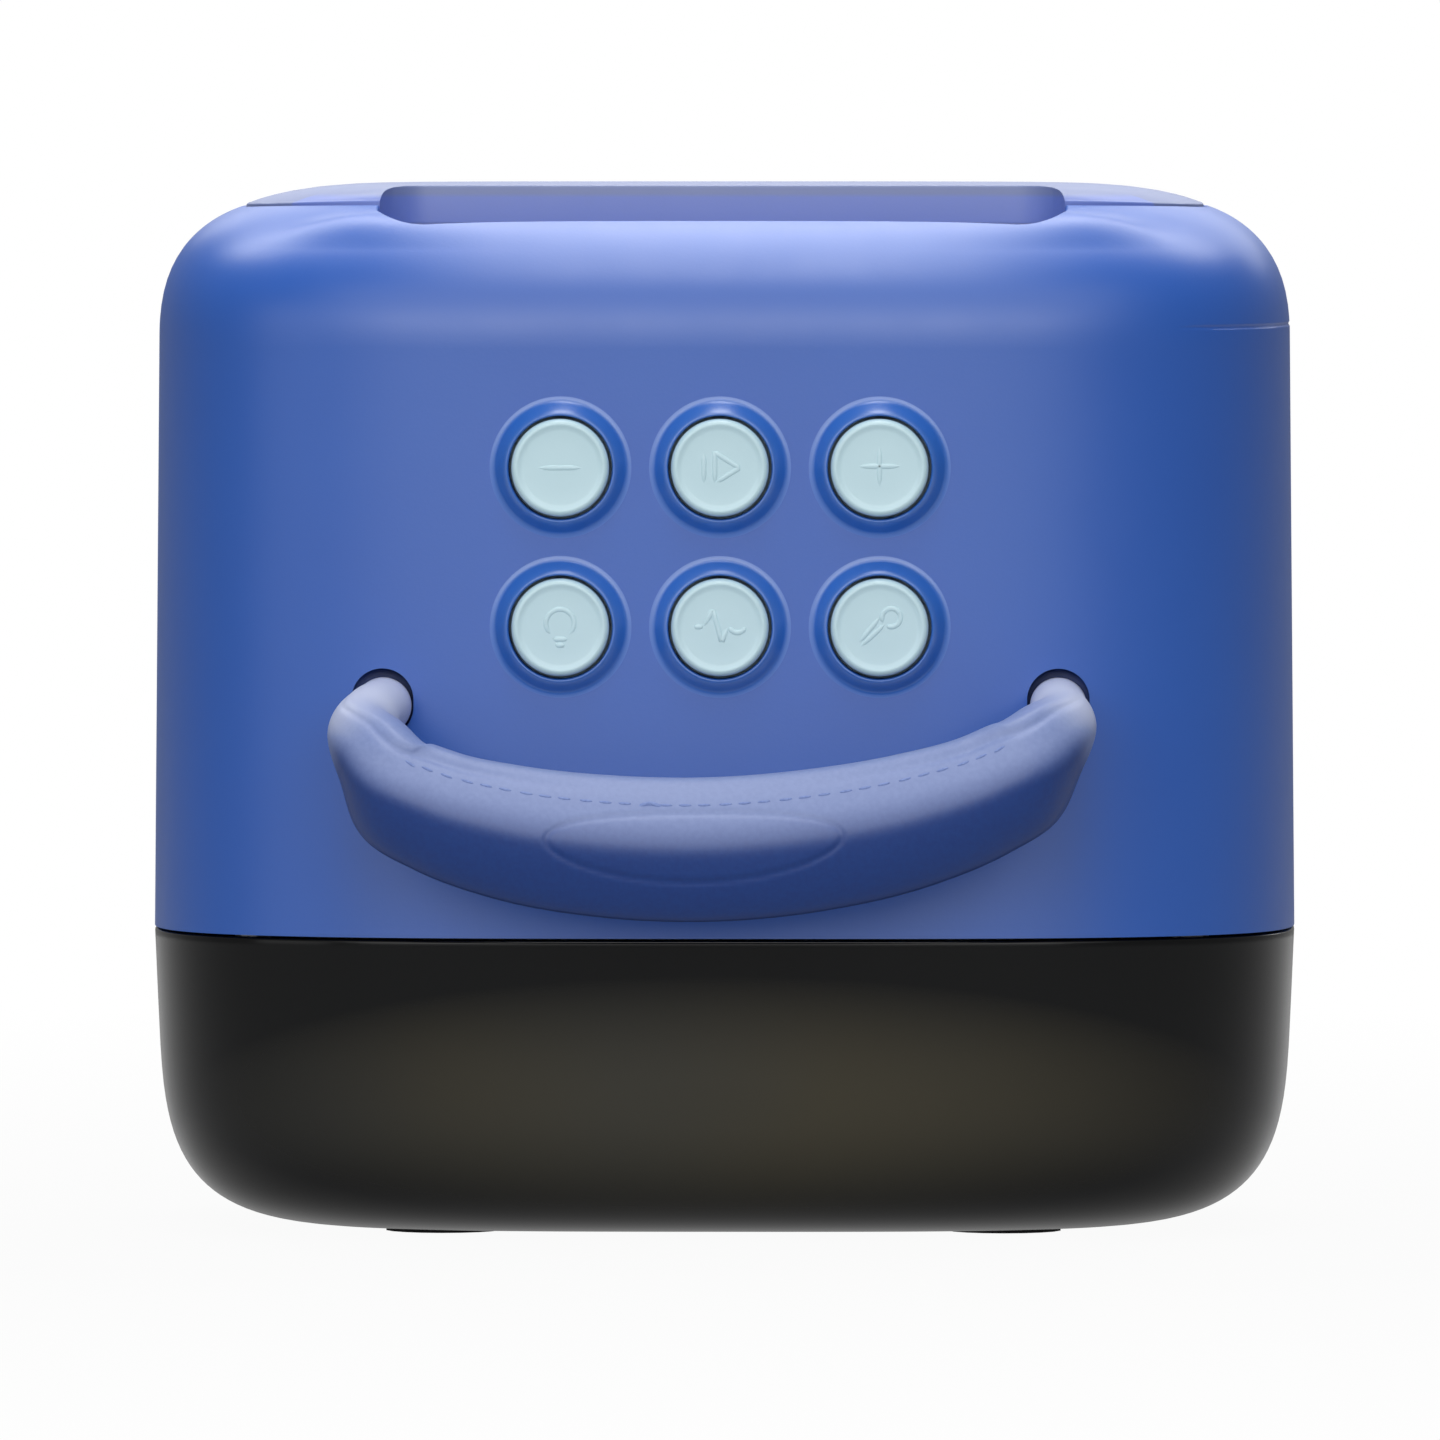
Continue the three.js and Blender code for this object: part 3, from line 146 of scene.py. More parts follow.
def circle(cx, cz, size, count=96):
    """Points round a circle on the front."""
    turn = np.linspace(0, 2 * math.pi, count, endpoint=False)
    return np.column_stack([cx + size * np.cos(turn), cz + size * np.sin(turn)])


def turned_rows(cx, cz, profile, depth_of, count=96):
    """Circles round an axis along Y, one for each (radius, value). depth_of(value, x, z) is a circle's y."""
    rows = []
    for size, value in profile:
        px, pz = circle(cx, cz, size, count).T
        rows.append(np.column_stack([px, np.broadcast_to(depth_of(value, px, pz), count), pz]))
    return rows


# %% [markdown]
# ## Materials from sums
# A moulded plastic is never one flat colour: it has a grain and faint clouds in its gloss. Such patterns are
# sums of noise, so a small class lets a node's output be added and multiplied like a number.

# %% A socket that can be calculated with
class Value:
    """An output socket of a graph. The operators given to it make the Math nodes."""

    def __init__(self, graph, socket):
        self.graph = graph
        self.socket = socket


def give_operator(name, operation):
    """Adds an operator and its reflected form to every Value."""

    def plain(self, other):
        return self.graph.node("ShaderNodeMath", {"operation": operation}, {0: self, 1: other})

    def reflected(self, other):
        return self.graph.node("ShaderNodeMath", {"operation": operation}, {0: other, 1: self})

    setattr(Value, f"__{name}__", plain)
    setattr(Value, f"__r{name}__", reflected)


OPERATIONS = {"add": "ADD", "sub": "SUBTRACT", "mul": "MULTIPLY", "truediv": "DIVIDE", "pow": "POWER"}
for name, operation in OPERATIONS.items():
    give_operator(name, operation)


class Graph:
    """A node tree whose nodes are made and linked in one call."""

    def __init__(self, tree):
        self.tree = tree

    def node(self, kind, settings=None, sockets=None, output=0):
        """Any node: its settings first, then the values or links of its sockets."""
        made = self.tree.nodes.new(kind)
        for key, value in (settings or {}).items():
            setattr(made, key, value)
        for key, value in (sockets or {}).items():
            if isinstance(value, Value):
                self.tree.links.new(value.socket, made.inputs[key])
            else:
                made.inputs[key].default_value = value
        return Value(self, made.outputs[output])

    def rays(self):
        """1 for rays from the camera, glossy rays and rays let through, each in a value of its own."""
        path = self.node("ShaderNodeLightPath").socket.node
        return [Value(self, path.outputs[f"Is {kind} Ray"]) for kind in ("Camera", "Glossy", "Transmission")]

    def surface(self, share, plain, white, output):
        """The output's surface: the plain node's where share is 0 and white where it is 1."""
        mixed = self.node("ShaderNodeMixShader", {}, {0: share, 1: Value(self, plain.outputs[0]), 2: white})
        self.tree.links.new(mixed.socket, self.tree.nodes[output].inputs["Surface"])


class Finish(Graph):
    """One material: a Principled shader whose fixed values are set on its sockets."""

    def __init__(self, name, **fixed):
        self.material = bpy.data.materials.new(name)
        self.material.use_nodes = True
        super().__init__(self.material.node_tree)
        self.shader = self.tree.nodes["Principled BSDF"]
        for socket, value in fixed.items():
            self.shader.inputs[socket.replace("_", " ")].default_value = value

    def place(self):
        """The point on the object, in metres."""
        return self.node("ShaderNodeTexCoord", output="Object")

    def axes(self):
        """The point's X, Y and Z as three values."""
        parts = self.node("ShaderNodeSeparateXYZ", {}, {0: self.place()}).socket.node
        return [Value(self, socket) for socket in parts.outputs]

    def noise(self, scale, detail=2.0, stretch=(1.0, 1.0, 1.0)):
        """Cloudy noise from 0 to 1. scale is its number of blobs to a metre."""
        place = self.node("ShaderNodeMapping", {}, {"Vector": self.place(), "Scale": stretch})
        return self.node("ShaderNodeTexNoise", {}, {"Vector": place, "Scale": scale, "Detail": detail})

    def ramp(self, value, low, high):
        """0 below low, 1 above high and straight in between."""
        return self.node("ShaderNodeMapRange", {}, {"Value": value, "From Min": low, "From Max": high})

    def blend(self, share, first, second):
        """A colour between two colours."""
        return self.node("ShaderNodeMix", {"data_type": "RGBA"}, {0: share, 6: first, 7: second}, output=2)

    def feed(self, socket, value):
        """Links a value that changes over the surface to the shader."""
        self.tree.links.new(value.socket, self.shader.inputs[socket])

    def relief(self, height, distance):
        """A height pattern, with distance in metres from its lowest to its highest point."""
        bump = self.node("ShaderNodeBump", {}, {"Height": height, "Distance": distance, "Strength": 1.0})
        self.feed("Normal", bump)


def srgb(red, green, blue):
    """A colour written from 0 to 255, as a shader's linear colour."""
    channels = np.array([red, green, blue]) / 255
    linear = np.where(channels <= 0.04045, channels / 12.92, ((channels + 0.055) / 1.055) ** 2.4)
    return (*linear.tolist(), 1.0)


# %% [markdown]
# ## The moulded plastics
# The shell and the top deck are moulded in a satin blue with a fine grain. The deck's top is painted greyer,
# a painted reflection of the pale surroundings that it meets at a grazing angle, and its slot's wall is
# bluer. The collars are a paler blue, a painted highlight. The caps are a pale mint. Each drifts a little in
# colour and gloss.

# %% Blue, grey-blue and mint
def moulded(name, colour, other, gloss, grain, shine=0.75):
    """Satin plastic: colour drifts towards other, roughness varies by a few hundredths round gloss."""
    finish = Finish(name, Specular_IOR_Level=shine, IOR=1.62)
    clouds = finish.noise(28.0, 3.0)
    finish.tone = finish.blend(finish.ramp(clouds, 0.3, 0.75), colour, other)
    finish.feed("Base Color", finish.tone)
    finish.feed("Roughness", finish.noise(160.0) * 0.07 + (gloss - 0.035))
    finish.relief(finish.noise(2600.0, 1.0), grain)
    return finish


shell_blue = moulded("shell_blue", srgb(15, 85, 181), srgb(20, 89, 185), 0.38, 0.000006)
slot_blue = moulded("slot_blue", srgb(104, 122, 186), srgb(109, 127, 190), 0.46, 0.000006)
# The deck's top colour is greyer than its slot wall: a painted reflection of the pale surroundings, seen at
# a grazing angle.
deck_blue_painted_reflection = moulded("deck_blue_painted_reflection", srgb(104, 119, 166), srgb(109, 124, 171), 0.46, 0.000006)
# The collars' blue is paler than the shell's: a painted highlight on their rings, besides their higher
# gloss.
collar_blue_painted_highlight = moulded("collar_blue_painted_highlight", srgb(36, 102, 194), srgb(41, 106, 198), 0.33, 0.000003, shine=1.0)
cap_mint = moulded("cap_mint", srgb(193, 225, 234), srgb(197, 228, 237), 0.38, 0.000004)
x, y, z = deck_blue_painted_reflection.axes()
# The slot's forward-facing wall keeps a bluer tone, without the painted reflection of the top.
on_wall = deck_blue_painted_reflection.ramp(z, 0.1258, 0.1253) * deck_blue_painted_reflection.ramp(y, (BODY_Y - 23.4) * MM, (BODY_Y - 23.7) * MM)
deck_blue_painted_reflection.feed("Base Color", deck_blue_painted_reflection.blend(on_wall, deck_blue_painted_reflection.tone, srgb(99, 121, 195)))
print("moulded plastics:", len(bpy.data.materials))

# %% [markdown]
# ## The smoked bowl
# The bowl is polished smoked plastic, black round its rim and corners. A warm dark grey glow is painted into
# its colour where the lit milky diffuser inside would show through the smoke, so its colour follows a smooth
# hump in X and Z.

# %% Smoke
smoke = Finish("smoked_bowl", Roughness=0.18, Specular_IOR_Level=0.27)
x, y, z = smoke.axes()
# Painted glow: a warm grey hump in the middle stands for the lit diffuser seen through the smoke.
painted_glow_share = smoke.ramp((x / 0.056) ** 2 + ((z - 0.017) / 0.0135) ** 2, 1.3, 0.05)
painted_glow_colour = smoke.blend(smoke.ramp(smoke.noise(22.0, 1.0), 0.35, 0.65), srgb(62, 61, 55), srgb(68, 64, 51))
smoke.feed("Base Color", smoke.blend(painted_glow_share, srgb(9, 10, 11), painted_glow_colour))
print("smoked bowl ready")

# %% [markdown]
# ## The other finishes
# The strap is a soft rubber skin with a fine pebble grain. An attribute of its mesh carries painted light: 0
# for the painted shade on its underside, 0.5 for a painted highlight on its upper side and 1 for the palest
# painted highlight at its ends. The screws are plated steel.

# %% Strap, thread and steel
def grained(name, colour, other, gloss, scale, depth):
    """A surface of two close colours in blobs of the given scale, with a relief of the same blobs."""
    finish = Finish(name)
    blobs = finish.noise(scale)
    finish.feed("Base Color", finish.blend(finish.ramp(blobs, 0.35, 0.65), colour, other))
    finish.feed("Roughness", blobs * 0.1 + (gloss - 0.05))
    finish.relief(blobs, depth)
    return finish


strap_skin = Finish("strap_skin", Specular_IOR_Level=0.6)
pebbles = strap_skin.noise(1500.0)
# Painted light: the strap is darker below, paler above and palest at its ends, for how the light falls on
# it.
painted_light_share = strap_skin.node("ShaderNodeAttribute", {"attribute_name": "painted_light"}, output="Fac")
painted_upper_share = strap_skin.ramp(painted_light_share, 0.0, 0.5)
pebble_tone_with_painted_light = strap_skin.blend(painted_upper_share, srgb(0, 52, 128), srgb(126, 143, 193))
other_pebble_tone_with_painted_light = strap_skin.blend(painted_upper_share, srgb(3, 57, 133), srgb(131, 148, 197))
skin_tone = strap_skin.blend(strap_skin.ramp(pebbles, 0.35, 0.65), pebble_tone_with_painted_light, other_pebble_tone_with_painted_light)
painted_end_highlight = strap_skin.ramp(painted_light_share, 0.5, 1.0)
strap_skin.feed("Base Color", strap_skin.blend(painted_end_highlight, skin_tone, srgb(206, 213, 236)))
strap_skin.feed("Roughness", pebbles * 0.1 + 0.4)
strap_skin.relief(pebbles, 0.00002)
strap_thread = grained("strap_thread", srgb(132, 152, 206), srgb(118, 138, 196), 0.6, 3000.0, 0.00004)

steel = Finish("plated_steel", Metallic=1.0)
lines = steel.noise(900.0, stretch=(0.05, 1.0, 1.0))
steel.feed("Base Color", steel.blend(lines, srgb(206, 208, 212), srgb(188, 190, 194)))
steel.feed("Roughness", lines * 0.18 + 0.22)
steel.relief(lines, 0.000004)
print("finishes:", len(bpy.data.materials))

# %% [markdown]
# ## The body's outline
# Seen from above the body is a superellipse: |x / a| to the power p plus |y / b| to the power p equals 1.
# Its half sizes a and b depend on the height. They shrink a little up the sides, so that the moulding leaves
# its tool, and then run in fast over the shoulders. One rule therefore gives the whole skin.

# %% Sizes of the shell
POWER = 3.4
HALF_X = 69.4
HALF_Y = 50.0
SEAM = 36.65
SHELL_TOP = 125.45
SHOULDER = 18.0
SHOULDER_START = SHELL_TOP - SHOULDER
TUCK_X = 21.0
TUCK_Y = 26.0
TUCK_POWER_X = 2.6
TUCK_POWER_Y = 2.3
DRAFT = 0.6
WALL = 2.4
GAP = 0.3
SIDE_LINE = SHOULDER_START + 2.4


def tuck(share, power):
    """How far a rounding has run in: 1 - (1 - s^n)^(1/n)"""
    return 1 - (1 - share**power) ** (1 / power)


def upper_half(height):
    """Half sizes above the seam: a straight lean, then the tuck over the shoulder."""
    lean = DRAFT * (np.minimum(height, SHOULDER_START) - SEAM) / (SHOULDER_START - SEAM)
    rise = np.clip((height - SHOULDER_START) / SHOULDER, 0, 1)
    half_x = HALF_X - lean - TUCK_X * tuck(rise, TUCK_POWER_X)
    return half_x, HALF_Y - lean - TUCK_Y * tuck(rise, TUCK_POWER_Y)


def reach(px, py, half_x, half_y):
    """How far out a point lies, 1 being on the superellipse with these half sizes."""
    return (np.abs(px / half_x) ** POWER + np.abs(py / half_y) ** POWER) ** (1 / POWER)


def slopes(px, py, half_x, half_y):
    """Slopes along X and Y of |x/a|^p + |y/b|^p, each over p."""
    return [signed_power(place / half, POWER - 1) / half for place, half in ((px, half_x), (py, half_y))]


def outline(half_x, half_y, t):
    """Points (a C, b S) of the superellipse: C and S are cos t and sin t to the power 2/p, signs kept."""
    c, s = signed_power(np.array([np.cos(t), np.sin(t)]), 2 / POWER)
    return np.column_stack([half_x * c, half_y * s])


def roof_height(px, py):
    """Height of the skin above a place, found by halving the interval in which it lies."""
    low = np.full(np.shape(px), SEAM)
    high = np.full(np.shape(px), SHELL_TOP)
    for _ in range(46):
        middle = (low + high) / 2
        inside = reach(px, py, *upper_half(middle)) < 1
        low = np.where(inside, middle, low)
        high = np.where(inside, high, middle)
    return low


def skin_depth(px, pz):
    """Distance of the front or rear skin from the body's middle plane, at a place on the front."""
    half_x, half_y = upper_half(np.asarray(pz, dtype=float))
    return half_y * np.clip(1 - np.abs(px / half_x) ** POWER, 0, 1) ** (1 / POWER)


def skin_normal(points, step=0.01):
    """Direction in which |x/a(z)|^p + |y/b(z)|^p grows fastest, with a small step in z for its slope."""
    px, py, pz = points.T
    half_x, half_y = upper_half(pz)
    above = reach(px, py, *upper_half(np.minimum(pz + step, SHELL_TOP - 0.001)))
    below = reach(px, py, *upper_half(pz - step))
    scale = reach(px, py, half_x, half_y) ** (POWER - 1)
    return unit(np.stack([*slopes(px, py, half_x, half_y), (above - below) / (2 * step) * scale], axis=-1))


print("skin height above the slot's front rim:", round(float(roof_height(0.0, -39.0)), 2), "mm")

# %% [markdown]
# ## The slot and the deck in plan
# The phone slot is a long rounded rectangle. The deck is a superellipse let into the roof, and the slot cuts
# through its front edge. So the roof ends along one closed line: the deck's edge and the slot's front half.

# %% One closed line
SLOT_HALF_X = 41.4
SLOT_HALF_Y = 7.5
SLOT_CORNER = 6.5
SLOT_Y = -31.5
DECK_HALF_X = 58.3
DECK_HALF_Y = 33.0
DECK_TOP = SHELL_TOP + 1.35
DECK_UNDER = SHELL_TOP - 3.2
SLOT_FLOOR = SHELL_TOP - 12.9


def resampled(line, count):
    """The same line with its points evenly spaced. Its first two columns are places."""
    length = np.concatenate([[0], np.cumsum(np.linalg.norm(np.diff(line[:, :2], axis=0), axis=1))])
    wanted = np.linspace(0, length[-1], count)
    return np.stack([np.interp(wanted, length, column) for column in line.T], axis=-1)


def rounded_outline(half_x, half_y, corner, count):
    """Points evenly along a rounded rectangle, anticlockwise from its right side's top, and normals."""
    quarter = np.linspace(0, math.pi / 2, 40)
    pieces = []
    for turn, (sx, sy) in enumerate([(1, 1), (-1, 1), (-1, -1), (1, -1)]):
        angle = quarter + turn * math.pi / 2
        out = np.stack([np.cos(angle), np.sin(angle)], axis=-1)
        centre = np.array([sx * (half_x - corner), sy * (half_y - corner)])
        pieces.append(np.column_stack([centre + corner * out, out]))
    even = resampled(np.vstack([*pieces, pieces[0][:1]]), count + 1)[:-1]
    return even[:, :2], unit(even[:, 2:])


hole_x = DECK_HALF_X + GAP
hole_y = DECK_HALF_Y + GAP
slot, slot_normal = rounded_outline(SLOT_HALF_X, SLOT_HALF_Y, SLOT_CORNER, 4000)
slot = slot + [0, SLOT_Y]
beyond = reach(*slot.T, hole_x, hole_y) > 1
first = np.flatnonzero(beyond & ~np.roll(beyond, 1))[0]
order = (first + np.arange(beyond.sum())) % len(slot)
rim = np.column_stack([slot[order], -slot_normal[order]])
# The angles t at which the deck's outline passes through the rim's right and left ends.
right, left = [signed_power(end[:2] / [hole_x, hole_y], POWER / 2) for end in (rim[-1], rim[0])]
start = math.atan2(right[1], right[0])
end = math.atan2(left[1], left[0]) + 2 * math.pi
edge = outline(hole_x, hole_y, np.linspace(start, end, 6000))
edge_normal = unit(np.column_stack(slopes(*edge.T, hole_x, hole_y)))
edge = resampled(np.column_stack([edge, edge_normal]), 240)
line = np.vstack([edge, resampled(rim, 150)[1:-1]])
roof_line = line[:, :2]
roof_out = line[:, 2:]
roof_slot = np.arange(len(line)) >= len(edge)
print("line of the roof:", len(roof_line), "points")

# %% [markdown]
# ## The shell
# The shell is one sheet that wraps round both ways, like the skin of a ring: up the outside, in over the
# shoulder to the closed line, round a small radius, down inside, and back along the inner wall.

# %% Rows of the shell
def ring_at(height, direction, inset=0.0):
    """The superellipse at a height, met in the given directions (x and 1.5 y have the direction's angle)."""
    half_x, half_y = upper_half(height)
    cx = np.cos(direction)
    cy = np.sin(direction) / 1.5
    size = 1 / reach(cx, cy, half_x - inset, half_y - inset)
    return np.stack([size * cx, size * cy, np.full_like(cx, height)], axis=-1)


def lifted(plan, height):
    """Plan points with a height each."""
    return np.column_stack([plan, np.broadcast_to(height, len(plan))])


def eased_edge(line, out, height, radius):
    """Rows over a rounded edge: from the surface, radius away from the line, round to the vertical wall."""
    rows = []
    for turn in np.linspace(0, math.pi / 2, 7):
        inward = np.reshape(radius * (1 - math.sin(turn)), (-1, 1))
        rows.append(lifted(line + out * inward, height - radius * (1 - math.cos(turn))))
    return rows


climb = SHOULDER_START + SHOULDER * np.sin(np.linspace(0, 1, 12) * 0.95) ** (2 / TUCK_POWER_X)
ROOF_START = climb[7]


def raised_roof(px, py):
    """The skin, raised near the slot's front corners by 0.6 w of its lack against the skin at x = 0.

    w falls with the distance from the slot, from y = -36 to -31 and down to where the roof's rows begin.
    """
    skin = roof_height(px, py)
    level = roof_height(px * 0.0, py)
    beside = np.maximum(np.abs(px) - SLOT_HALF_X + SLOT_CORNER, 0)
    before = np.maximum(-py + SLOT_Y - SLOT_HALF_Y + SLOT_CORNER, 0)
    distance = np.maximum(np.hypot(beside, before) - SLOT_CORNER, 0)
    grown = smooth_step((skin - ROOF_START) / 3.4)
    weight = bell(distance, 0, 8.0) * smooth_step((-31.0 - py) / 5.0) * grown
    return skin + 0.6 * (level - skin) * weight


print("the roof's rows begin at", round(float(ROOF_START), 2), "mm")

# %% One sheet for the shell
SLOT_EASE = 0.35
DECK_EASE = 0.4
direction = np.arctan2(1.5 * roof_line[:, 1], roof_line[:, 0])
away = unit(softened(np.where(roof_slot[:, None], -roof_out, roof_out), 0, 5))
radius = np.where(roof_slot, SLOT_EASE, DECK_EASE)
roof_end = roof_line + away * radius[:, None]
rows = [ring_at(SEAM + GAP / 2, direction)]
rows += [ring_at(h, direction) for h in (37.2, 38.0, *range(42, 103, 6))]
rows.append(ring_at(climb[0], direction))
on_right = np.clip((0.86 - np.abs(direction)) / 0.08, 0, 1)
line_profile = ((-0.8, 0.0), (-0.3, 0.0), (-0.15, 0.1), (0.0, 0.15), (0.15, 0.1), (0.3, 0.0), (0.8, 0.0))
rows += [ring_at(SIDE_LINE + h, direction, depth * on_right) for h, depth in line_profile]
rows += [ring_at(h, direction) for h in climb[2:8]]
start = rows[-1][:, :2]
for share in np.linspace(0, 1, 22)[1:-1]:
    plan = start * (1 - share) + roof_end * share
    rows.append(lifted(plan, raised_roof(*plan.T)))
rows += eased_edge(roof_line, away, raised_roof(*roof_end.T), radius)
floor_height = np.where(roof_slot, SLOT_FLOOR, SHELL_TOP - 4.5)
ledge = roof_line + away * np.where(roof_slot, 3.0, 0.8)[:, None]
rows += [lifted(roof_line, floor_height), lifted(ledge, floor_height), lifted(ledge, SHELL_TOP - 6.0)]
rows.append(ring_at(SHELL_TOP - 13.9, direction, 3.0))
rows += [ring_at(h, direction, WALL) for h in (104, 90, 70, 50, SEAM + GAP / 2)]
shell_rows = rows
print("shell:", len(rows), "rows")

# %% [markdown]
# ## Openings in the shell
# Openings for the buttons, the handle and the rear panel are cut with a boolean. It leaves long thin faces
# that would shade badly, so the skin's exact direction is written into the mesh afterwards.

# %% Cutters
def prism_parts(shape, low, high):
    """A closed prism along Y over a line of X and Z, from low to high."""
    px, pz = shape.T
    return sheet_parts([np.column_stack([px, np.full(len(px), y), pz]) for y in (low, high)])


def cut_with(obj, parts, finish):
    """Takes the joined parts out of the object and keeps the result, in its finish, as its mesh."""
    cutter = mesh_object(obj.name + "_cutter", joined_parts(parts))
    modifier = obj.modifiers.new("cut", "BOOLEAN")
    modifier.operation = "DIFFERENCE"
    modifier.solver = "EXACT"
    modifier.object = cutter
    shape = obj.evaluated_get(bpy.context.evaluated_depsgraph_get())
    result = bpy.data.meshes.new_from_object(shape)
    result.materials.clear()
    result.materials.append(finish.material)
    obj.modifiers.clear()
    obj.data = result
    bpy.data.objects.remove(cutter)


# %% Exact shading
def surface_normal(height_of, px, py, step=0.02):
    """Direction (-dz/dx, -dz/dy, 1) of a surface given as a height over a plan."""
    rise_x = (height_of(px + step, py) - height_of(px - step, py)) / (2 * step)
    rise_y = (height_of(px, py + step) - height_of(px, py - step)) / (2 * step)
    return unit(np.stack([-rise_x, -rise_y, np.ones_like(px)], axis=-1))


def read(items, name, width, kind=float):
    """One property of all the items of a mesh, a row for each."""
    values = np.empty(len(items) * width, dtype=kind)
    items.foreach_get(name, values)
    return values.reshape(-1, width)


def shade_as_skin(obj, height_of=None):
    """Corners that lie on the skin, or on a surface of given height, take its exact direction."""
    mesh = obj.data
    mesh.shade_smooth()
    mesh.set_sharp_from_angle(angle=math.radians(35))
    corner = read(mesh.loops, "vertex_index", 1, int)[:, 0]
    place = read(mesh.vertices, "co", 3) / MM - BODY_MIDDLE
    own = read(mesh.corner_normals, "vector", 3)
    sides = read(mesh.polygons, "loop_total", 1, int)[:, 0]
    flat = np.repeat(read(mesh.polygons, "normal", 3), sides, axis=0)
    low = place[:, 2] < (SHELL_TOP - 9.0 if height_of is None else 0.0)
    height_of = height_of or raised_roof
    exact = np.zeros_like(place)
    on_surface = np.zeros(len(place), dtype=bool)
    px, py, pz = place[low].T
    exact[low] = skin_normal(place[low])
    on_surface[low] = np.abs(reach(px, py, *upper_half(pz)) - 1) * 50 < 0.02
    px, py, pz = place[~low].T
    exact[~low] = surface_normal(height_of, px, py)
    on_surface[~low] = np.abs(height_of(px, py) - pz) < 0.03
    exact = exact[corner]
    on_skin = on_surface[corner] & (np.sum(exact * flat, axis=1) > 0.9)
    own[on_skin] = exact[on_skin]
    mesh.normals_split_custom_set(own.tolist())


# %% The shell, cut and shaded
BUTTON_PITCH = 19.1
BUTTON_TOP_ROW = 93.25
BORE = 6.35
HANDLE_X = 40.5
HANDLE_Z = 64.55
STUB = 3.4
HOLE = STUB + 0.35
HOLE_LIFT = 0.8
WINDOW_X = 47.0
WINDOW_CORNER = 10.0
WINDOW_LOW = 44.55
WINDOW_HIGH = 106.05
window_z = (WINDOW_LOW + WINDOW_HIGH) / 2
window_half_z = (WINDOW_HIGH - WINDOW_LOW) / 2
button_names = [
    "button_volume_down", "button_play_pause", "button_volume_up",
    "button_light", "button_voice_effect", "button_microphone",
]
button_places = {
    name: ((number % 3 - 1) * BUTTON_PITCH, BUTTON_TOP_ROW - number // 3 * BUTTON_PITCH)
    for number, name in enumerate(button_names)
}
cutters = [prism_parts(circle(bx, bz, BORE), -60, -42) for bx, bz in button_places.values()]
for side in (-1, 1):
    hole = circle(side * HANDLE_X, HANDLE_Z, HOLE)
    hole[:, 1] += np.where(hole[:, 1] > HANDLE_Z, HOLE_LIFT, 0.0)
    cutters.append(prism_parts(hole, -60, -38))
window_line, _ = rounded_outline(WINDOW_X, window_half_z, WINDOW_CORNER, 200)
cutters.append(prism_parts(window_line + [0, window_z], 30, 60))
shell = mesh_object("shell_skin", sheet_parts(shell_rows, wrapped=True))
cut_with(shell, cutters, shell_blue)
shade_as_skin(shell)
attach(shell, "machine")
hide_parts("body_shell")
print("shell:", len(shell.data.polygons), "faces")

# %% [markdown]
# ## Collars
# Each button stands in a raised ring with a soft crown, moulded with the shell. A ring is a profile carried
# round a circle. Its foot follows the skin and fades out in it, so that no line shows where it begins.

# %% Six rings
COLLAR_RISE = 1.2
SUNK = 0.004


def collar_rows(cx, cz):
    """Circles from outside the foot, over the crown, down the bore and back underneath."""
    crown = -HALF_Y - COLLAR_RISE
    sizes = (8.5, 8.2, 7.95, 7.78, 7.62, 7.4, 7.15, 6.9, 6.7, 6.54, 6.42, 6.31, 6.23, 6.2)
    rises = (0.0, 0.01, 0.04, 0.12, 0.24, 0.42, 0.61, 0.79, 0.91, 0.975, 1.0, 0.97, 0.89, 0.75)
    under = ((6.2, 3.0), (7.4, 3.0), (8.4, 0.6))

    def risen(share, px, pz):
        """From the skin at 0 to the crown at 1, sunk a hair into the skin."""
        return -skin_depth(px, pz) * (1 - share) + crown * share - SUNK

    rows = turned_rows(cx, cz, zip(sizes, rises), risen)
    return rows + turned_rows(cx, cz, under, lambda depth, px, pz: -skin_depth(px, pz) + depth)


collar_parts = [sheet_parts(collar_rows(bx, bz), wrapped=True) for bx, bz in button_places.values()]
collars = mesh_object("button_collars", joined_parts(collar_parts), collar_blue_painted_highlight, 50)
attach(collars, "machine")
print("collars:", len(collars.data.polygons), "faces")

# %% [markdown]
# ## The deck
# The deck is a shallow dome: flat in its middle, it falls gently towards its sides and steeply towards its
# front and rear. Its sheet closes in on its middle, and the slot is cut out of it afterwards.

# %% A dome with the slot's rear half in it
DOME_EASE = 0.35
RIM_EASE = 0.3


def dome_height(px, py):
    """Edge height along the shell plus the dome's rise times (1 - reach^n), n from 10 at the sides to 30."""
    out = np.clip(reach(px, py, DECK_HALF_X, DECK_HALF_Y), 0.02, None)
    share = np.minimum(np.abs(py / out / DECK_HALF_Y), 1) ** POWER
    edge = roof_height(px / out, py / out) + 0.12
    return edge + (DECK_TOP - edge) * (1 - np.minimum(out, 1) ** (10 + 20 * share))


deck_line = resampled(outline(DECK_HALF_X, DECK_HALF_Y, np.linspace(0, 2 * math.pi, 6001)), 301)[:-1]
inward = -unit(np.column_stack(slopes(*deck_line.T, DECK_HALF_X, DECK_HALF_Y)))
edge_line = deck_line + inward * DOME_EASE
rows = [lifted(deck_line * 0.5, DECK_UNDER), lifted(deck_line, DECK_UNDER)]
rows += eased_edge(deck_line, inward, dome_height(*edge_line.T), DOME_EASE)[::-1]
for share in (0.006, 0.015, 0.03, 0.05, 0.08, 0.12, 0.17, 0.23, 0.32, 0.45, 0.65, 0.88):
    plan = edge_line * (1 - share)
    rows.append(lifted(plan, dome_height(*plan.T)))
deck = mesh_object("deck_dome", sheet_parts(rows))
slot_ring, slot_out = rounded_outline(SLOT_HALF_X, SLOT_HALF_Y, SLOT_CORNER, 240)
slot_ring = slot_ring + [0, SLOT_Y]
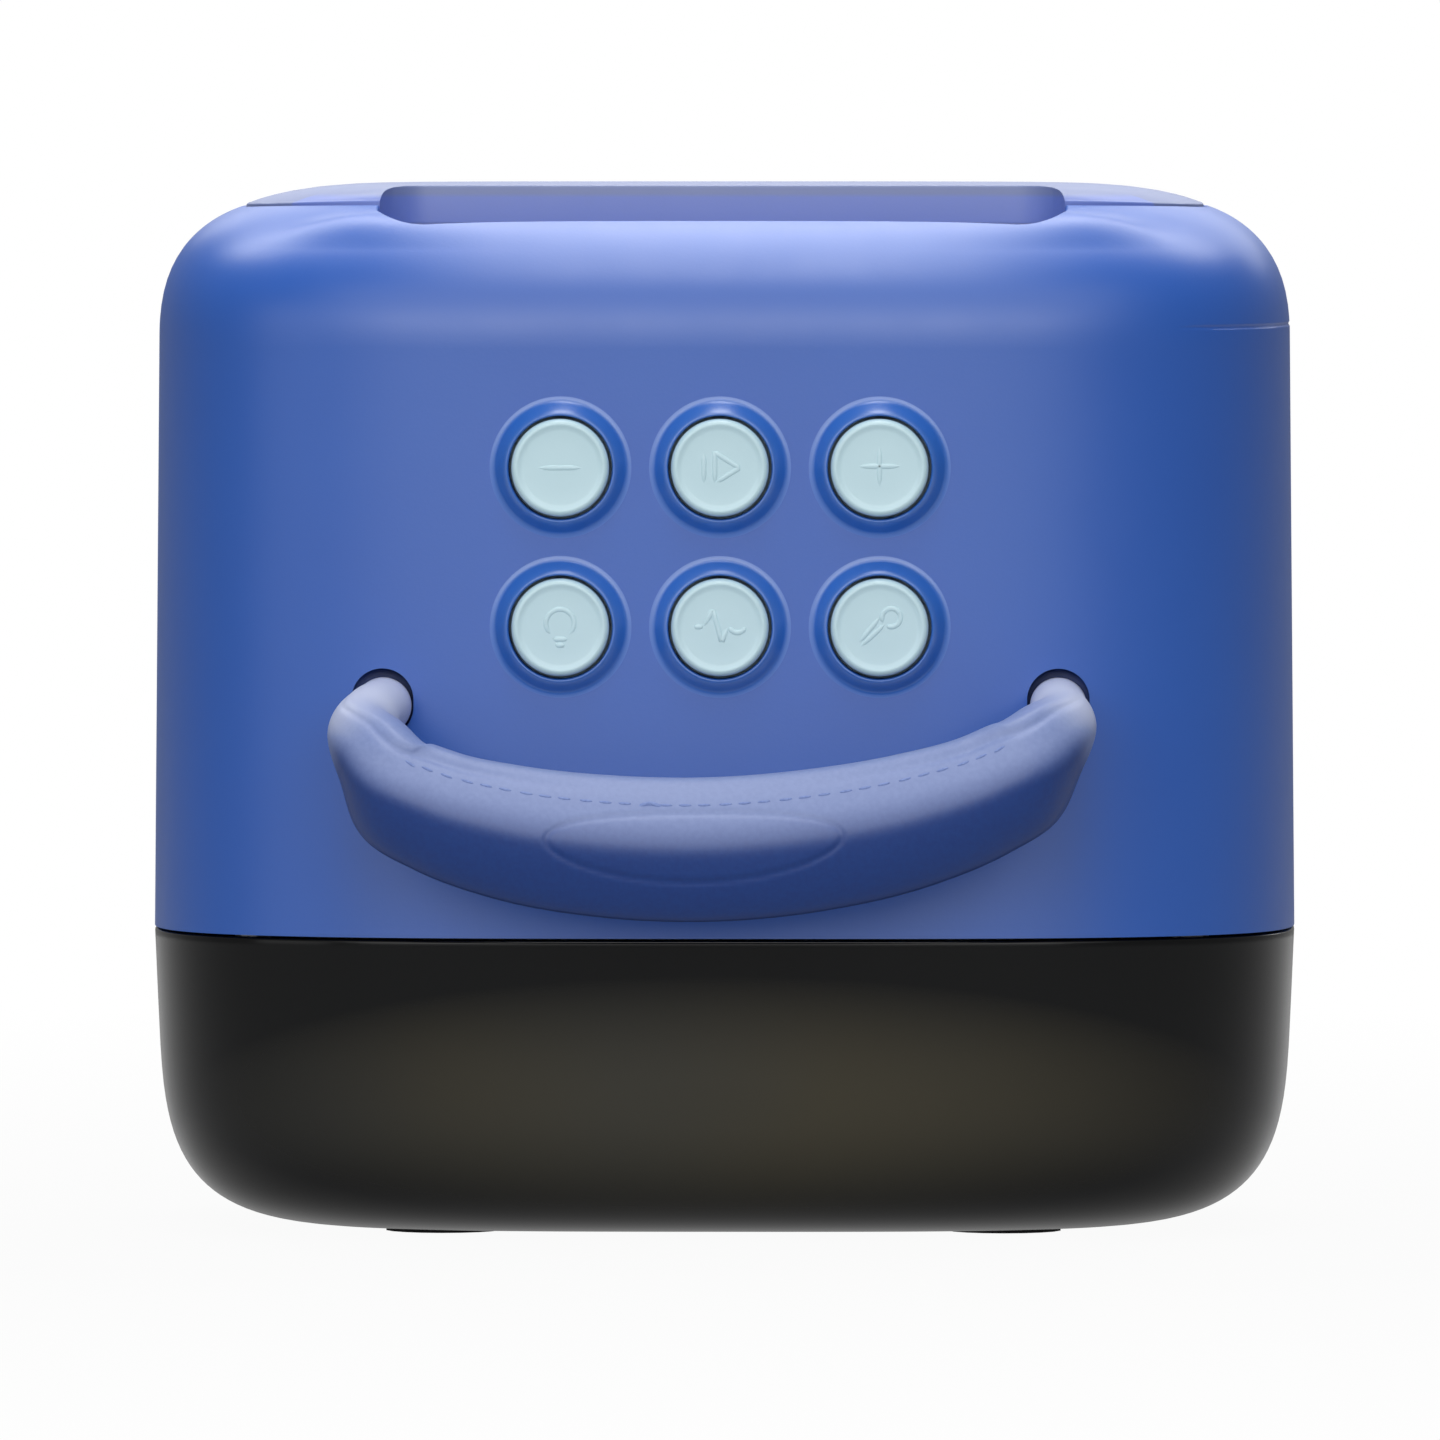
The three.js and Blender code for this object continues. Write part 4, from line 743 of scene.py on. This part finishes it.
slot_cut = [lifted(slot_ring, DECK_UNDER - 5)]
for turn in np.linspace(0, math.pi / 2, 5):
    spread = slot_out * RIM_EASE * (1 - math.cos(turn))
    slot_cut.append(lifted(slot_ring + spread, DECK_TOP - RIM_EASE * (1 - math.sin(turn))))
slot_cut.append(lifted(slot_ring + slot_out * RIM_EASE, DECK_TOP + 5))
cut_with(deck, [sheet_parts(slot_cut)], deck_blue_painted_reflection)
shade_as_skin(deck, dome_height)
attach(deck, "machine")
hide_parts("top_deck")
print("deck:", len(deck.data.polygons), "faces")

# %% A lining for the slot
inner = slot_ring + slot_out * 0.05
outer = slot_ring + slot_out * 1.2
lining_top = np.minimum(DECK_UNDER - 0.03, raised_roof(*outer.T) - 0.4)
heights = (SLOT_FLOOR, lining_top, lining_top, SLOT_FLOOR)
lining_rows = [lifted(line, height) for line, height in zip((inner, inner, outer, outer), heights)]
lining = mesh_object("slot_lining", sheet_parts(lining_rows, wrapped=True), slot_blue)
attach(lining, "machine")
print("lining:", len(lining.data.polygons), "faces")

# %% [markdown]
# ## The bowl
# The bowl hangs below the seam. It has the shell's plan at the top and rounds in under itself to a flat
# bottom. Its sheet runs up the outside, over the polished lip and down the inside.

# %% The smoked bowl
BOWL_BOTTOM = 0.35
BOWL_ROUND = 28.1
BOWL_POWER = 3.9
BOWL_LEAN = 1.55
BOWL_TUCK_X = 33.0
BOWL_TUCK_Y = 30.0
BOWL_WALL = 2.6
LIP_EASE = 0.35
seam_turns = np.linspace(0, 2 * math.pi, 8001)
bowl_turns = resampled(np.column_stack([outline(HALF_X, HALF_Y, seam_turns), seam_turns]), 281)[:-1, 2]


def bowl_ring(height, inset=0.0):
    """The bowl's plan: a straight lean, then the tuck, drawn in by the wall."""
    fall = np.clip((BOWL_BOTTOM + BOWL_ROUND - height) / (BOWL_ROUND - inset), 0, 1)
    lean = BOWL_LEAN * np.maximum(SEAM - height, 0) / (SEAM - BOWL_BOTTOM)
    run = tuck(fall, BOWL_POWER)
    half_x = HALF_X - inset - lean - (BOWL_TUCK_X - BOWL_LEAN - inset) * run
    half_y = HALF_Y - inset - lean - (BOWL_TUCK_Y - BOWL_LEAN - inset) * run
    return lifted(outline(half_x, half_y, bowl_turns), height)


fall_steps = np.sin(np.linspace(math.pi / 2, 0, 30)) ** (2 / BOWL_POWER)
outside = BOWL_BOTTOM + BOWL_ROUND - BOWL_ROUND * fall_steps
inside = BOWL_BOTTOM + BOWL_ROUND - (BOWL_ROUND - BOWL_WALL) * fall_steps[::-1][::3]
rows = [bowl_ring(BOWL_BOTTOM) * [s, s, 1] for s in (0.25, 0.6)]
rows += [bowl_ring(h) for h in (*outside, 31.0, 33.5, 35.5)]
lip = SEAM - GAP / 2
for turn in np.linspace(0, math.pi / 2, 5):
    rows.append(bowl_ring(lip - LIP_EASE * (1 - math.sin(turn)), LIP_EASE * (1 - math.cos(turn))))
rows += [bowl_ring(h, BOWL_WALL) for h in (lip, 33.0, *inside)]
bowl = mesh_object("bowl_skin", sheet_parts(rows), smoke)
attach(bowl, "machine")
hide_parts("light_bowl")
print("bowl:", len(bowl.data.polygons), "faces")

# %% [markdown]
# ## Caps
# A cap is a shallow button with a rounded rim and a face that lies a touch lower inside it. The symbols are
# low ridges, half round in section.

# %% A cap, and ridges for the symbols
CAP_FRONT = -HALF_Y - 2.2
FACE_DEPTH = 0.2
RIDGE_WIDTH = 0.62
RIDGE_HEIGHT = 0.1


def cap_rows(cx, cz):
    """A profile of radius and depth behind the crown, carried round the cap's axis."""
    profile = [(0.5, 0.2), (2.5, 0.2), (4.4, 0.2), (4.75, 0.17), (5.0, 0.06), (5.2, 0.0)]
    for angle in np.linspace(math.pi / 2, 0, 7)[1:]:
        profile.append((5.2 + 0.65 * math.cos(angle), 0.9 - 0.9 * math.sin(angle)))
    profile += [(5.85, 6.0), (6.8, 6.05), (6.8, 6.9), (2.5, 6.95), (2.5, 7.5)]
    return turned_rows(cx, cz, profile, lambda depth, px, pz: CAP_FRONT + depth)


def ridge_rows(path, cx, cz):
    """A half-round ridge along a path on a cap's face, its two ends pinched to a point."""
    step = np.gradient(path, axis=0)
    side = unit(np.stack([-step[:, 1], step[:, 0]], axis=-1))
    grow = np.ones(len(path))
    grow[[0, -1]] = 0.05
    grow[[1, -2]] = 0.8
    turn = np.linspace(0, 2 * math.pi, 10, endpoint=False)
    rows = []
    for place, across, size in zip(path, side, grow):
        flat = place + across * (np.cos(turn) * RIDGE_WIDTH / 2 * size)[:, None]
        depth = CAP_FRONT + FACE_DEPTH - np.sin(turn) * RIDGE_HEIGHT * size
        rows.append(np.column_stack([cx + flat[:, 0], depth, cz + flat[:, 1]]))
    return rows


def straight(x0, z0, x1, z1, count=8):
    """Evenly spaced points from one place to another."""
    return np.linspace([x0, z0], [x1, z1], count)


def arc(cx, cz, size, start, end, count=16):
    """Points along an arc, with its angles in degrees from +X."""
    turn = np.radians(np.linspace(start, end, count))
    return np.column_stack([cx + size * np.cos(turn), cz + size * np.sin(turn)])


# %% Six caps
triangle = [straight(-0.6, -1.8, -0.6, 1.8), straight(-0.4, 1.7, 2.2, 0.1), straight(2.2, -0.1, -0.4, -1.7)]
beat = [straight(-1.9, 0.2, -0.9, 2, 5), straight(-0.8, 2, 0.2, -1.6, 6), straight(0.3, -1.6, 0.9, 0, 5)]
globe = [arc(1.4, 1.2, 1.1, -120, 30), arc(1.4, 1.2, 1.1, 30, 210)]
lamp_foot = [straight(-0.9, -1.4, 0.9, -1.4), straight(-0.6, -2.1, 0.6, -2.1)]
symbols = {
    "button_volume_down": [straight(-2.6, 0, 2.6, 0)],
    "button_play_pause": [straight(-1.9, -1.8, -1.9, 1.8), np.vstack(triangle)],
    "button_volume_up": [straight(-2.5, 0.2, 2.5, 0.2), straight(0, -2.2, 0, 2.6)],
    "button_light": [arc(0, 0.5, 1.7, -50, 230), *lamp_foot],
    "button_voice_effect": [straight(-3.1, 0.1, -2.0, 0.1), np.vstack(beat), arc(2.1, 0.4, 1.0, 200, 340)],
    "button_microphone": [np.vstack(globe), straight(0.6, 0.4, -2.2, -2.2), straight(0.0, 1.2, -2.4, -1.7)],
}
for name, (bx, bz) in button_places.items():
    cap = mesh_object("cap_" + name[7:], sheet_parts(cap_rows(bx, bz)), cap_mint)
    ridges = [sheet_parts(ridge_rows(path, bx, bz)) for path in symbols[name]]
    symbol = mesh_object("symbol_" + name[7:], joined_parts(ridges), cap_mint, 60)
    for obj in (cap, symbol):
        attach(obj, name[7:])
    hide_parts(name)
print("caps:", len(button_places))

# %% [markdown]
# ## The handle
# The handle is a soft strap round a core. Its ends are round stubs that come straight out of the shell. It
# widens to a tall oval section in the middle and sags a little more on its left. A piped lip runs along its
# top edge over a crease, and an oval place for a badge is pressed into its front. The strap is one sheet,
# with these small forms as heights on it.

# %% Line and section of the strap
_, handle_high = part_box("handle_grip")
FRONT = -HALF_Y
REACH = 17.0
DROP = 16.3
TALL = 8.6
THICK = 5.0
SKEW = 0.076
BELLY = 0.85
stub_start = 1000 * handle_high[1] - BODY_Y
# Shares of HANDLE_X, REACH and DROP, then the half height and half thickness.
stations = np.array([
    [1.0, 0.0, 0.0, STUB, STUB],
    [1.0, 0.0, 0.0, STUB, STUB],
    [1.016, 0.28, 0.04, STUB * 1.05, STUB * 1.05],
    [1.032, 0.53, 0.154, STUB * 1.33, STUB * 1.2],
    [0.992, 0.72, 0.308, TALL * 0.68, THICK * 0.92],
    [0.932, 0.86, 0.498, TALL * 0.81, THICK * 0.98],
    [0.802, 0.945, 0.67, TALL * 0.869, THICK * 0.98],
    [0.596, 0.985, 0.831, TALL * 0.94, THICK],
    [0.298, 1.0, 0.957, TALL * 0.988, THICK],
    [0.0, 1.0, 1.0, TALL, THICK],
])
stations[:, 0] *= HANDLE_X
stations[:, 1] = FRONT - REACH * stations[:, 1]
stations[0, 1] = stub_start
stations = np.vstack([stations[:-1] * [-1, 1, 1, 1, 1], stations[::-1]])
skewed = stations[:, 2] - SKEW * stations[:, 0] / HANDLE_X * np.minimum(1, stations[:, 2] * 2)
belly = BELLY * np.clip((FRONT - stations[:, 1]) / (REACH / 2), 0, 1)
centres = np.column_stack([stations[:, 0] - belly, stations[:, 1], HANDLE_Z - DROP * skewed])


def smooth_through(knots, places, wanted):
    """A cubic curve through the knots: each knot's slope is that of the line between its neighbours."""
    slope = np.gradient(knots, places, axis=0)
    index = np.clip(np.searchsorted(places, wanted, side="right") - 1, 0, len(places) - 2)
    width = (places[index + 1] - places[index])[:, None]
    t = ((wanted - places[index])[:, None]) / width
    first = (2 * t**3 - 3 * t**2 + 1) * knots[index] + (t**3 - 2 * t**2 + t) * width * slope[index]
    second = (3 * t**2 - 2 * t**3) * knots[index + 1] + (t**3 - t**2) * width * slope[index + 1]
    return first + second


knot_places = np.concatenate([[0], np.cumsum(np.linalg.norm(np.diff(centres, axis=0), axis=1))])
along = np.linspace(0, knot_places[-1], 430)
centre_line = smooth_through(centres, knot_places, along)
half_sizes = smooth_through(stations[:, 3:], knot_places, along)
tangent = unit(np.gradient(centre_line, along, axis=0))
up = unit(np.array([0, 0, 1.0]) - tangent * tangent[:, 2:3])
backward = np.cross(up, tangent)
from_middle = (along - knot_places[-1] / 2)[:, None]
print("strap length along its middle:", round(float(along[-1]), 1), "mm")

# %% Section, from round to a softened oval
LEAN = math.radians(5.0)
section_turn = np.linspace(0, 2 * math.pi, 144, endpoint=False)
turn_front = (360 - np.degrees(section_turn)) % 360
widened = np.clip((half_sizes[:, 0] / STUB - 1.0), 0, 1)[:, None]
power = 2.0 + np.where(turn_front < 180, -0.5, 0.35)[None, :] * widened
cos_turn, sin_turn = np.cos(section_turn), np.sin(section_turn)
tall = softened(signed_power(cos_turn, 2 / power), 1, 26)
thick = softened(signed_power(sin_turn, 2 / power), 1, 26)
tall = tall / tall.max(axis=1, keepdims=True) * half_sizes[:, :1]
thick = thick / np.abs(thick).max(axis=1, keepdims=True) * half_sizes[:, 1:]
cos_lean, sin_lean = np.cos(LEAN * widened), np.sin(LEAN * widened)
tall, thick = tall * cos_lean - thick * sin_lean, thick * cos_lean + tall * sin_lean
strap = centre_line[:, None] + up[:, None] * tall[..., None] + backward[:, None] * thick[..., None]
print("strap section:", len(section_turn), "points")

# %% Lip, crease and badge as heights
BADGE_HALF_X = 17.6
BADGE_HALF_Z = 4.1
on_strap = np.clip((half_sizes[:, :1] - STUB * 1.03) / 3.2, 0, 1)
near_end = np.clip((np.abs(from_middle) - 10.0) / 24.0, 0.08, 1)
height = 0.12 * bell(turn_front, 18.0, 8.0) - 0.3 * bell(turn_front, 34.0, 5.5)
height = height[None, :] * on_strap * near_end
badge_x = (from_middle + 1.4) / BADGE_HALF_X
badge_z = (tall - 0.35) / BADGE_HALF_Z
oval = np.sqrt(badge_x**2 + badge_z**2)
slope = np.sqrt((badge_x / BADGE_HALF_X) ** 2 + (badge_z / BADGE_HALF_Z) ** 2) / np.maximum(oval, 0.05)
edge_distance = (oval - 1) / np.maximum(slope, 0.02)
faces_front = (turn_front > 40) & (turn_front < 140)
height = height + np.where(faces_front[None, :], -0.22 * bell(edge_distance, 0.0, 0.28), 0.0)
normal = unit(np.cross(np.gradient(strap, axis=0), np.roll(strap, -1, axis=1) - np.roll(strap, 1, axis=1)))
normal *= np.sign(np.sum(normal * (strap - centre_line[:, None]), axis=2, keepdims=True))
strap_points = strap + normal * height[..., None]
print("small forms from", round(float(height.min()), 2), "to", round(float(height.max()), 2), "mm")

# %% The strap, with a flange behind each hole
FLANGE = ((STUB, -0.28), (4.5, -0.28), (4.7, -0.18), (4.7, 0.0))


def flange_rows(end):
    """A thin disc round the stub's end, just behind the shell's wall, that closes its hole from inside."""
    ring = up[end] * cos_turn[:, None] + backward[end] * sin_turn[:, None]
    across = centre_line[end] * [1, 0, 1]
    return [across + [0, stub_start + back, 0] + ring * size for size, back in FLANGE]


whole = [*flange_rows(0)[::-1], *strap_points[2:-2], *flange_rows(-1)]
grip = mesh_object("handle_strap", sheet_parts(whole), strap_skin, 55)
# Marks of the painted light: painted shade below, painted highlight above and at the ends; the flanges take
# the shaded tone.
painted_end_highlight = smooth_step((np.abs(from_middle) - 43.0) / 9.0)
painted_light_marks = smooth_step((tall / half_sizes[:, :1] + 0.15) / 0.65) / 2
painted_light_marks = painted_light_marks * (1 - painted_end_highlight) + painted_end_highlight
flange_marks = np.zeros((len(FLANGE), len(turn_front)))
painted_light_marks = np.vstack([flange_marks, painted_light_marks[2:-2], flange_marks]).ravel()
painted_light_attribute = grip.data.attributes.new("painted_light", "FLOAT", "POINT")
painted_light_attribute.data.foreach_set("value", np.concatenate([painted_light_marks, [0.0, 0.0]]))
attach(grip, "handle")
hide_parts("handle_grip")
print("strap:", len(grip.data.polygons), "faces,", len(painted_light_marks) + 2, "marks")

# %% [markdown]
# ## Stitches
# The seam below the lip is a row of short threads, each an elongated bead half sunk in the skin. Two slanted
# beads near the middle are a small knot. All the beads are one mesh.

# %% A row of beads
SEAM_TURN = 48.0
STITCH_PITCH = 2.5


def bead_parts(place, direction, out, length, size):
    """A small ellipsoid: length along the seam, size across, centred a little below the surface."""
    across = np.cross(direction, out)
    longitude = np.linspace(0, 2 * math.pi, 8, endpoint=False)
    ring = out * np.cos(longitude)[:, None] + across * np.sin(longitude)[:, None]
    middle = place - out * size * 0.35
    latitude = np.linspace(0, math.pi, 7)[1:-1]
    rows = [middle + direction * math.cos(a) * length / 2 + ring * size * math.sin(a) for a in latitude]
    return sheet_parts(rows)


column = int(np.argmin(np.abs(turn_front - SEAM_TURN)))
threads = [(at, 0.0, 1.7, 0.2) for at in np.arange(-37.5, 37.6, STITCH_PITCH)]
threads += [(-7.6, 0.35, 2.2, 0.28), (-6.3, -0.35, 2.2, 0.28)]
beads = []
for at, tilt, length, size in threads:
    k = int(np.argmin(np.abs(from_middle - at)))
    slanted = unit(tangent[k] + up[k] * tilt)
    beads.append(bead_parts(strap_points[k, column], slanted, normal[k, column], length, size))
stitches = mesh_object("handle_stitches", joined_parts(beads), strap_thread, 80)
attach(stitches, "handle")
print("stitches:", len(beads))

# %% [markdown]
# ## The rear panel
# The rear panel continues the shell's rear skin inside a fine gap, so its depth comes from the same rule.

# %% A panel that follows the skin
PANEL_THICK = 3.0
DRIVER_Z = 78.35
GRILLE_RADIUS = 17.8
GRILLE_PITCH = 5.2
SLIT_HALF = 1.4
PORT_Z = 50.85
SCREW_INSET = 5.3


def panel_rows(depth, shares):
    """Rows from the panel's edge in towards its middle, at a depth inside the skin."""
    line, _ = rounded_outline(WINDOW_X - GAP, window_half_z - GAP, WINDOW_CORNER - GAP, 260)
    rows = []
    for share in shares:
        px, pz = (line * (1 - share) + [0, window_z]).T
        rows.append(np.column_stack([px, skin_depth(px, pz) - depth, pz]))
    return rows


shares = [0.0, 0.04, 0.1, 0.2, 0.3, 0.4, 0.5, 0.6, 0.7, 0.8, 0.9]
rows = panel_rows(PANEL_THICK, shares[::-1]) + panel_rows(0.0, shares)
rear = mesh_object("rear_skin", sheet_parts(rows))
cutters = []
for offset in np.arange(-3, 4) * GRILLE_PITCH:
    half = math.sqrt(GRILLE_RADIUS**2 - min(abs(offset) + SLIT_HALF, 17.5) ** 2) - 0.4
    slit, _ = rounded_outline(max(half, 1.45), SLIT_HALF, 1.38, 80)
    cutters.append(prism_parts(slit + [0, DRIVER_Z + offset], 35, 60))
for px, half_x, half_z in ((-26, 4.1, 1.5), (-11, 6.8, 1.7), (6, 4.8, 1.95)):
    shape, _ = rounded_outline(half_x, half_z, 1.2, 80)
    cutters.append(prism_parts(shape + [px, PORT_Z], 35, 60))
cutters.append(prism_parts(circle(20, PORT_Z + 1.3, 3.3), 35, 60))
for sx in (-1, 1):
    for sz in (-1, 1):
        px = sx * (WINDOW_X - SCREW_INSET)
        pz = window_z + sz * (window_half_z - SCREW_INSET)
        cutters.append(prism_parts(circle(px, pz, 3.0), float(skin_depth(px, pz)) - 2.0, 60))
cut_with(rear, cutters, shell_blue)
shade_as_skin(rear)
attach(rear, "machine")
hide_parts("rear_panel")
print("rear panel:", len(rear.data.polygons), "faces")

# %% Domed screws with a cross recess
def screw_parts(low, high):
    """Head and shank as one profile carried round the screw's axis, from its outer face inwards."""
    head = (high[0] - low[0]) / 2
    shank = head * 0.56
    length = high[1] - low[1]
    profile = [(0.3, 0.0), (head * 0.5, 0.05), (head * 0.78, 0.17), (head * 0.93, 0.36), (head, 0.62)]
    profile += [(head, 1.1), (shank, 1.8), (shank, length - 1.0), (0.3, length)]
    cx, _, cz = (low + high) / 2
    return sheet_parts(turned_rows(cx, cz, profile, lambda depth, px, pz: high[1] - depth, 48))


def cross_outline(half_width, half_length):
    """The twelve corners of a cross."""
    arm = np.array([[half_width, half_width], [half_width, half_length], [-half_width, half_length]])
    return np.vstack([arm @ [[c, s], [-s, c]] for c, s in ((1, 0), (0, 1), (-1, 0), (0, -1))])


for number in range(1, 5):
    node_name = f"rear_screw_{number}"
    low, high = (1000 * np.array(corner) - BODY_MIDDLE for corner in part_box(node_name))
    screw = mesh_object(f"rear_screw_head_{number}", screw_parts(low, high))
    recess = cross_outline(0.34, 1.45) + [(low[0] + high[0]) / 2, (low[2] + high[2]) / 2]
    cut_with(screw, [prism_parts(recess, high[1] - 0.9, high[1] + 1)], steel)
    screw.data.shade_smooth()
    screw.data.set_sharp_from_angle(angle=math.radians(30))
    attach(screw, "machine")
    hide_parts(node_name)
print("rear screws: 4")

# %% [markdown]
# ## What keeps its own shape
# Feet, sockets, boards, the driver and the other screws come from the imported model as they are. Each takes
# the finish that its slot in the record names.

# %% Finishes for the carried-over nodes
finish_of_slot = {
    "shell": shell_blue,
    "deck": deck_blue_painted_reflection,
    "caps": cap_mint,
    "grip": strap_skin,
    "smoked": smoke,
    "milky": grained("milky_diffuser", srgb(228, 228, 222), srgb(236, 235, 230), 0.5, 400.0, 0.00001),
    "inner_black": grained("black_plastic", srgb(34, 35, 38), srgb(40, 41, 44), 0.5, 1200.0, 0.00001),
    "soft_black": grained("black_rubber", srgb(38, 39, 41), srgb(46, 47, 49), 0.8, 900.0, 0.00003),
    "screws": steel,
    "boards": grained("board_green", srgb(22, 84, 52), srgb(34, 104, 62), 0.4, 260.0, 0.00001),
    "cell": grained("cell_wrap", srgb(50, 128, 160), srgb(56, 138, 168), 0.35, 90.0, 0.00001),
    "cone": grained("paper_cone", srgb(36, 36, 40), srgb(50, 49, 52), 0.85, 700.0, 0.00006),
}
for part in frame["record"]["subparts"]:
    node = frame["nodes"][part["node"]]
    node.data.materials.clear()
    node.data.materials.append(finish_of_slot[part["material_slot"]].material)

# %% [markdown]
# ## Floor, light and camera
# The photograph is a cut-out on white, taken from far away and a little above. The camera sees the floor
# almost white and the world white. To the object both are dim, so that its own colours keep their depth.

# %% Floor and world
FLOOR_HALF = 700.0
FLOOR_WHITE = 0.95
FLOOR_GLOSS = 0.15
WORLD_GREY = 0.2
WORLD_GLOSS = 0.04
WHITE = (1.0, 1.0, 1.0, 1.0)
floor_corners = np.array([[-1, -1, 0], [1, -1, 0], [1, 1, 0], [-1, 1, 0]]) * FLOOR_HALF
paper = Finish("floor_paper", Base_Color=(0.3, 0.3, 0.3, 1.0), Roughness=0.9, Specular_IOR_Level=0.1)
seen, glossy, through = paper.rays()
x, y, z = paper.axes()
radial = (x * x + y * y) ** 0.5
far = paper.ramp(radial, 0.12, 0.55)
near = paper.ramp(radial, 0.13, 0.07)
white_share = seen * (FLOOR_WHITE + far * (1 - FLOOR_WHITE))
white_share += (glossy + through) * (FLOOR_GLOSS + near * 0.2)
paper_glow = paper.node("ShaderNodeEmission", {}, {"Color": WHITE, "Strength": 1.0})
paper.surface(white_share, paper.shader, paper_glow, "Material Output")
floor = mesh_object("floor", (floor_corners, [[0, 1, 2, 3]]), paper)

world = bpy.data.worlds.new("studio")
bpy.context.scene.world = world
world.use_nodes = True
sky = Graph(world.node_tree)
background = sky.tree.nodes["Background"]
background.inputs["Color"].default_value = WHITE
background.inputs["Strength"].default_value = WORLD_GREY
seen, glossy, through = sky.rays()
sky_white = sky.node("ShaderNodeBackground", {}, {"Color": WHITE})
sky.surface((glossy + through) * WORLD_GLOSS + seen, background, sky_white, "World Output")
print("floor and world ready")

# %% Lamps
# Each lamp's place, its width and height, its power, and the height above the origin at which it is aimed.
lamps = {
    "overhead": ((0.0, -0.1, 1.0), (0.3, 0.9), 4.0, 0.06),
    "upper_back": ((0.0, 0.55, 1.0), (1.7, 0.4), 10.5, 0.1),
    "upper_front": ((0.0, -1.35, 1.1), (2.4, 1.3), 9.6, 0.07),
    "front_soft": ((-0.15, -2.9, 0.79), (3.4, 1.15), 28.0, 0.07),
    "left_fill": ((-1.6, -1.1, 0.5), (1.0, 1.0), 2.5, 0.07),
    "back_fill": ((0.3, 2.4, 1.2), (2.6, 1.0), 14.0, 0.07),
}
for name, (place, size, watts, aim_height) in lamps.items():
    data = bpy.data.lights.new(name, "AREA")
    data.shape = "RECTANGLE"
    data.size, data.size_y = size
    data.energy = watts
    lamp = bpy.data.objects.new(name, data)
    lamp.location = place
    towards = Vector((0.0, 0.0, aim_height)) - Vector(place)
    lamp.rotation_euler = towards.to_track_quat("-Z", "Y").to_euler()
    bpy.context.scene.collection.objects.link(lamp)
print("lamps:", len(lamps))

# %% Camera
SHOT = 1440
FOCAL = 20485
SENSOR = 36.0
aim = Vector((0.0, BODY_Y * MM, 0.06305))
eye = Vector((0.033, BODY_Y * MM - 2.5, 0.14955))
camera_data = bpy.data.cameras.new("camera")
camera_data.sensor_width = SENSOR
camera_data.lens = FOCAL / SHOT * SENSOR
camera_data.shift_x = -5.5 / SHOT
camera_data.shift_y = -14.6 / SHOT
camera_data.clip_end = 50.0
camera = bpy.data.objects.new("camera", camera_data)
camera.location = eye
camera.rotation_euler = (aim - eye).to_track_quat("-Z", "Y").to_euler()
bpy.context.scene.collection.objects.link(camera)
bpy.context.scene.camera = camera
bpy.context.scene.view_settings.view_transform = "Standard"
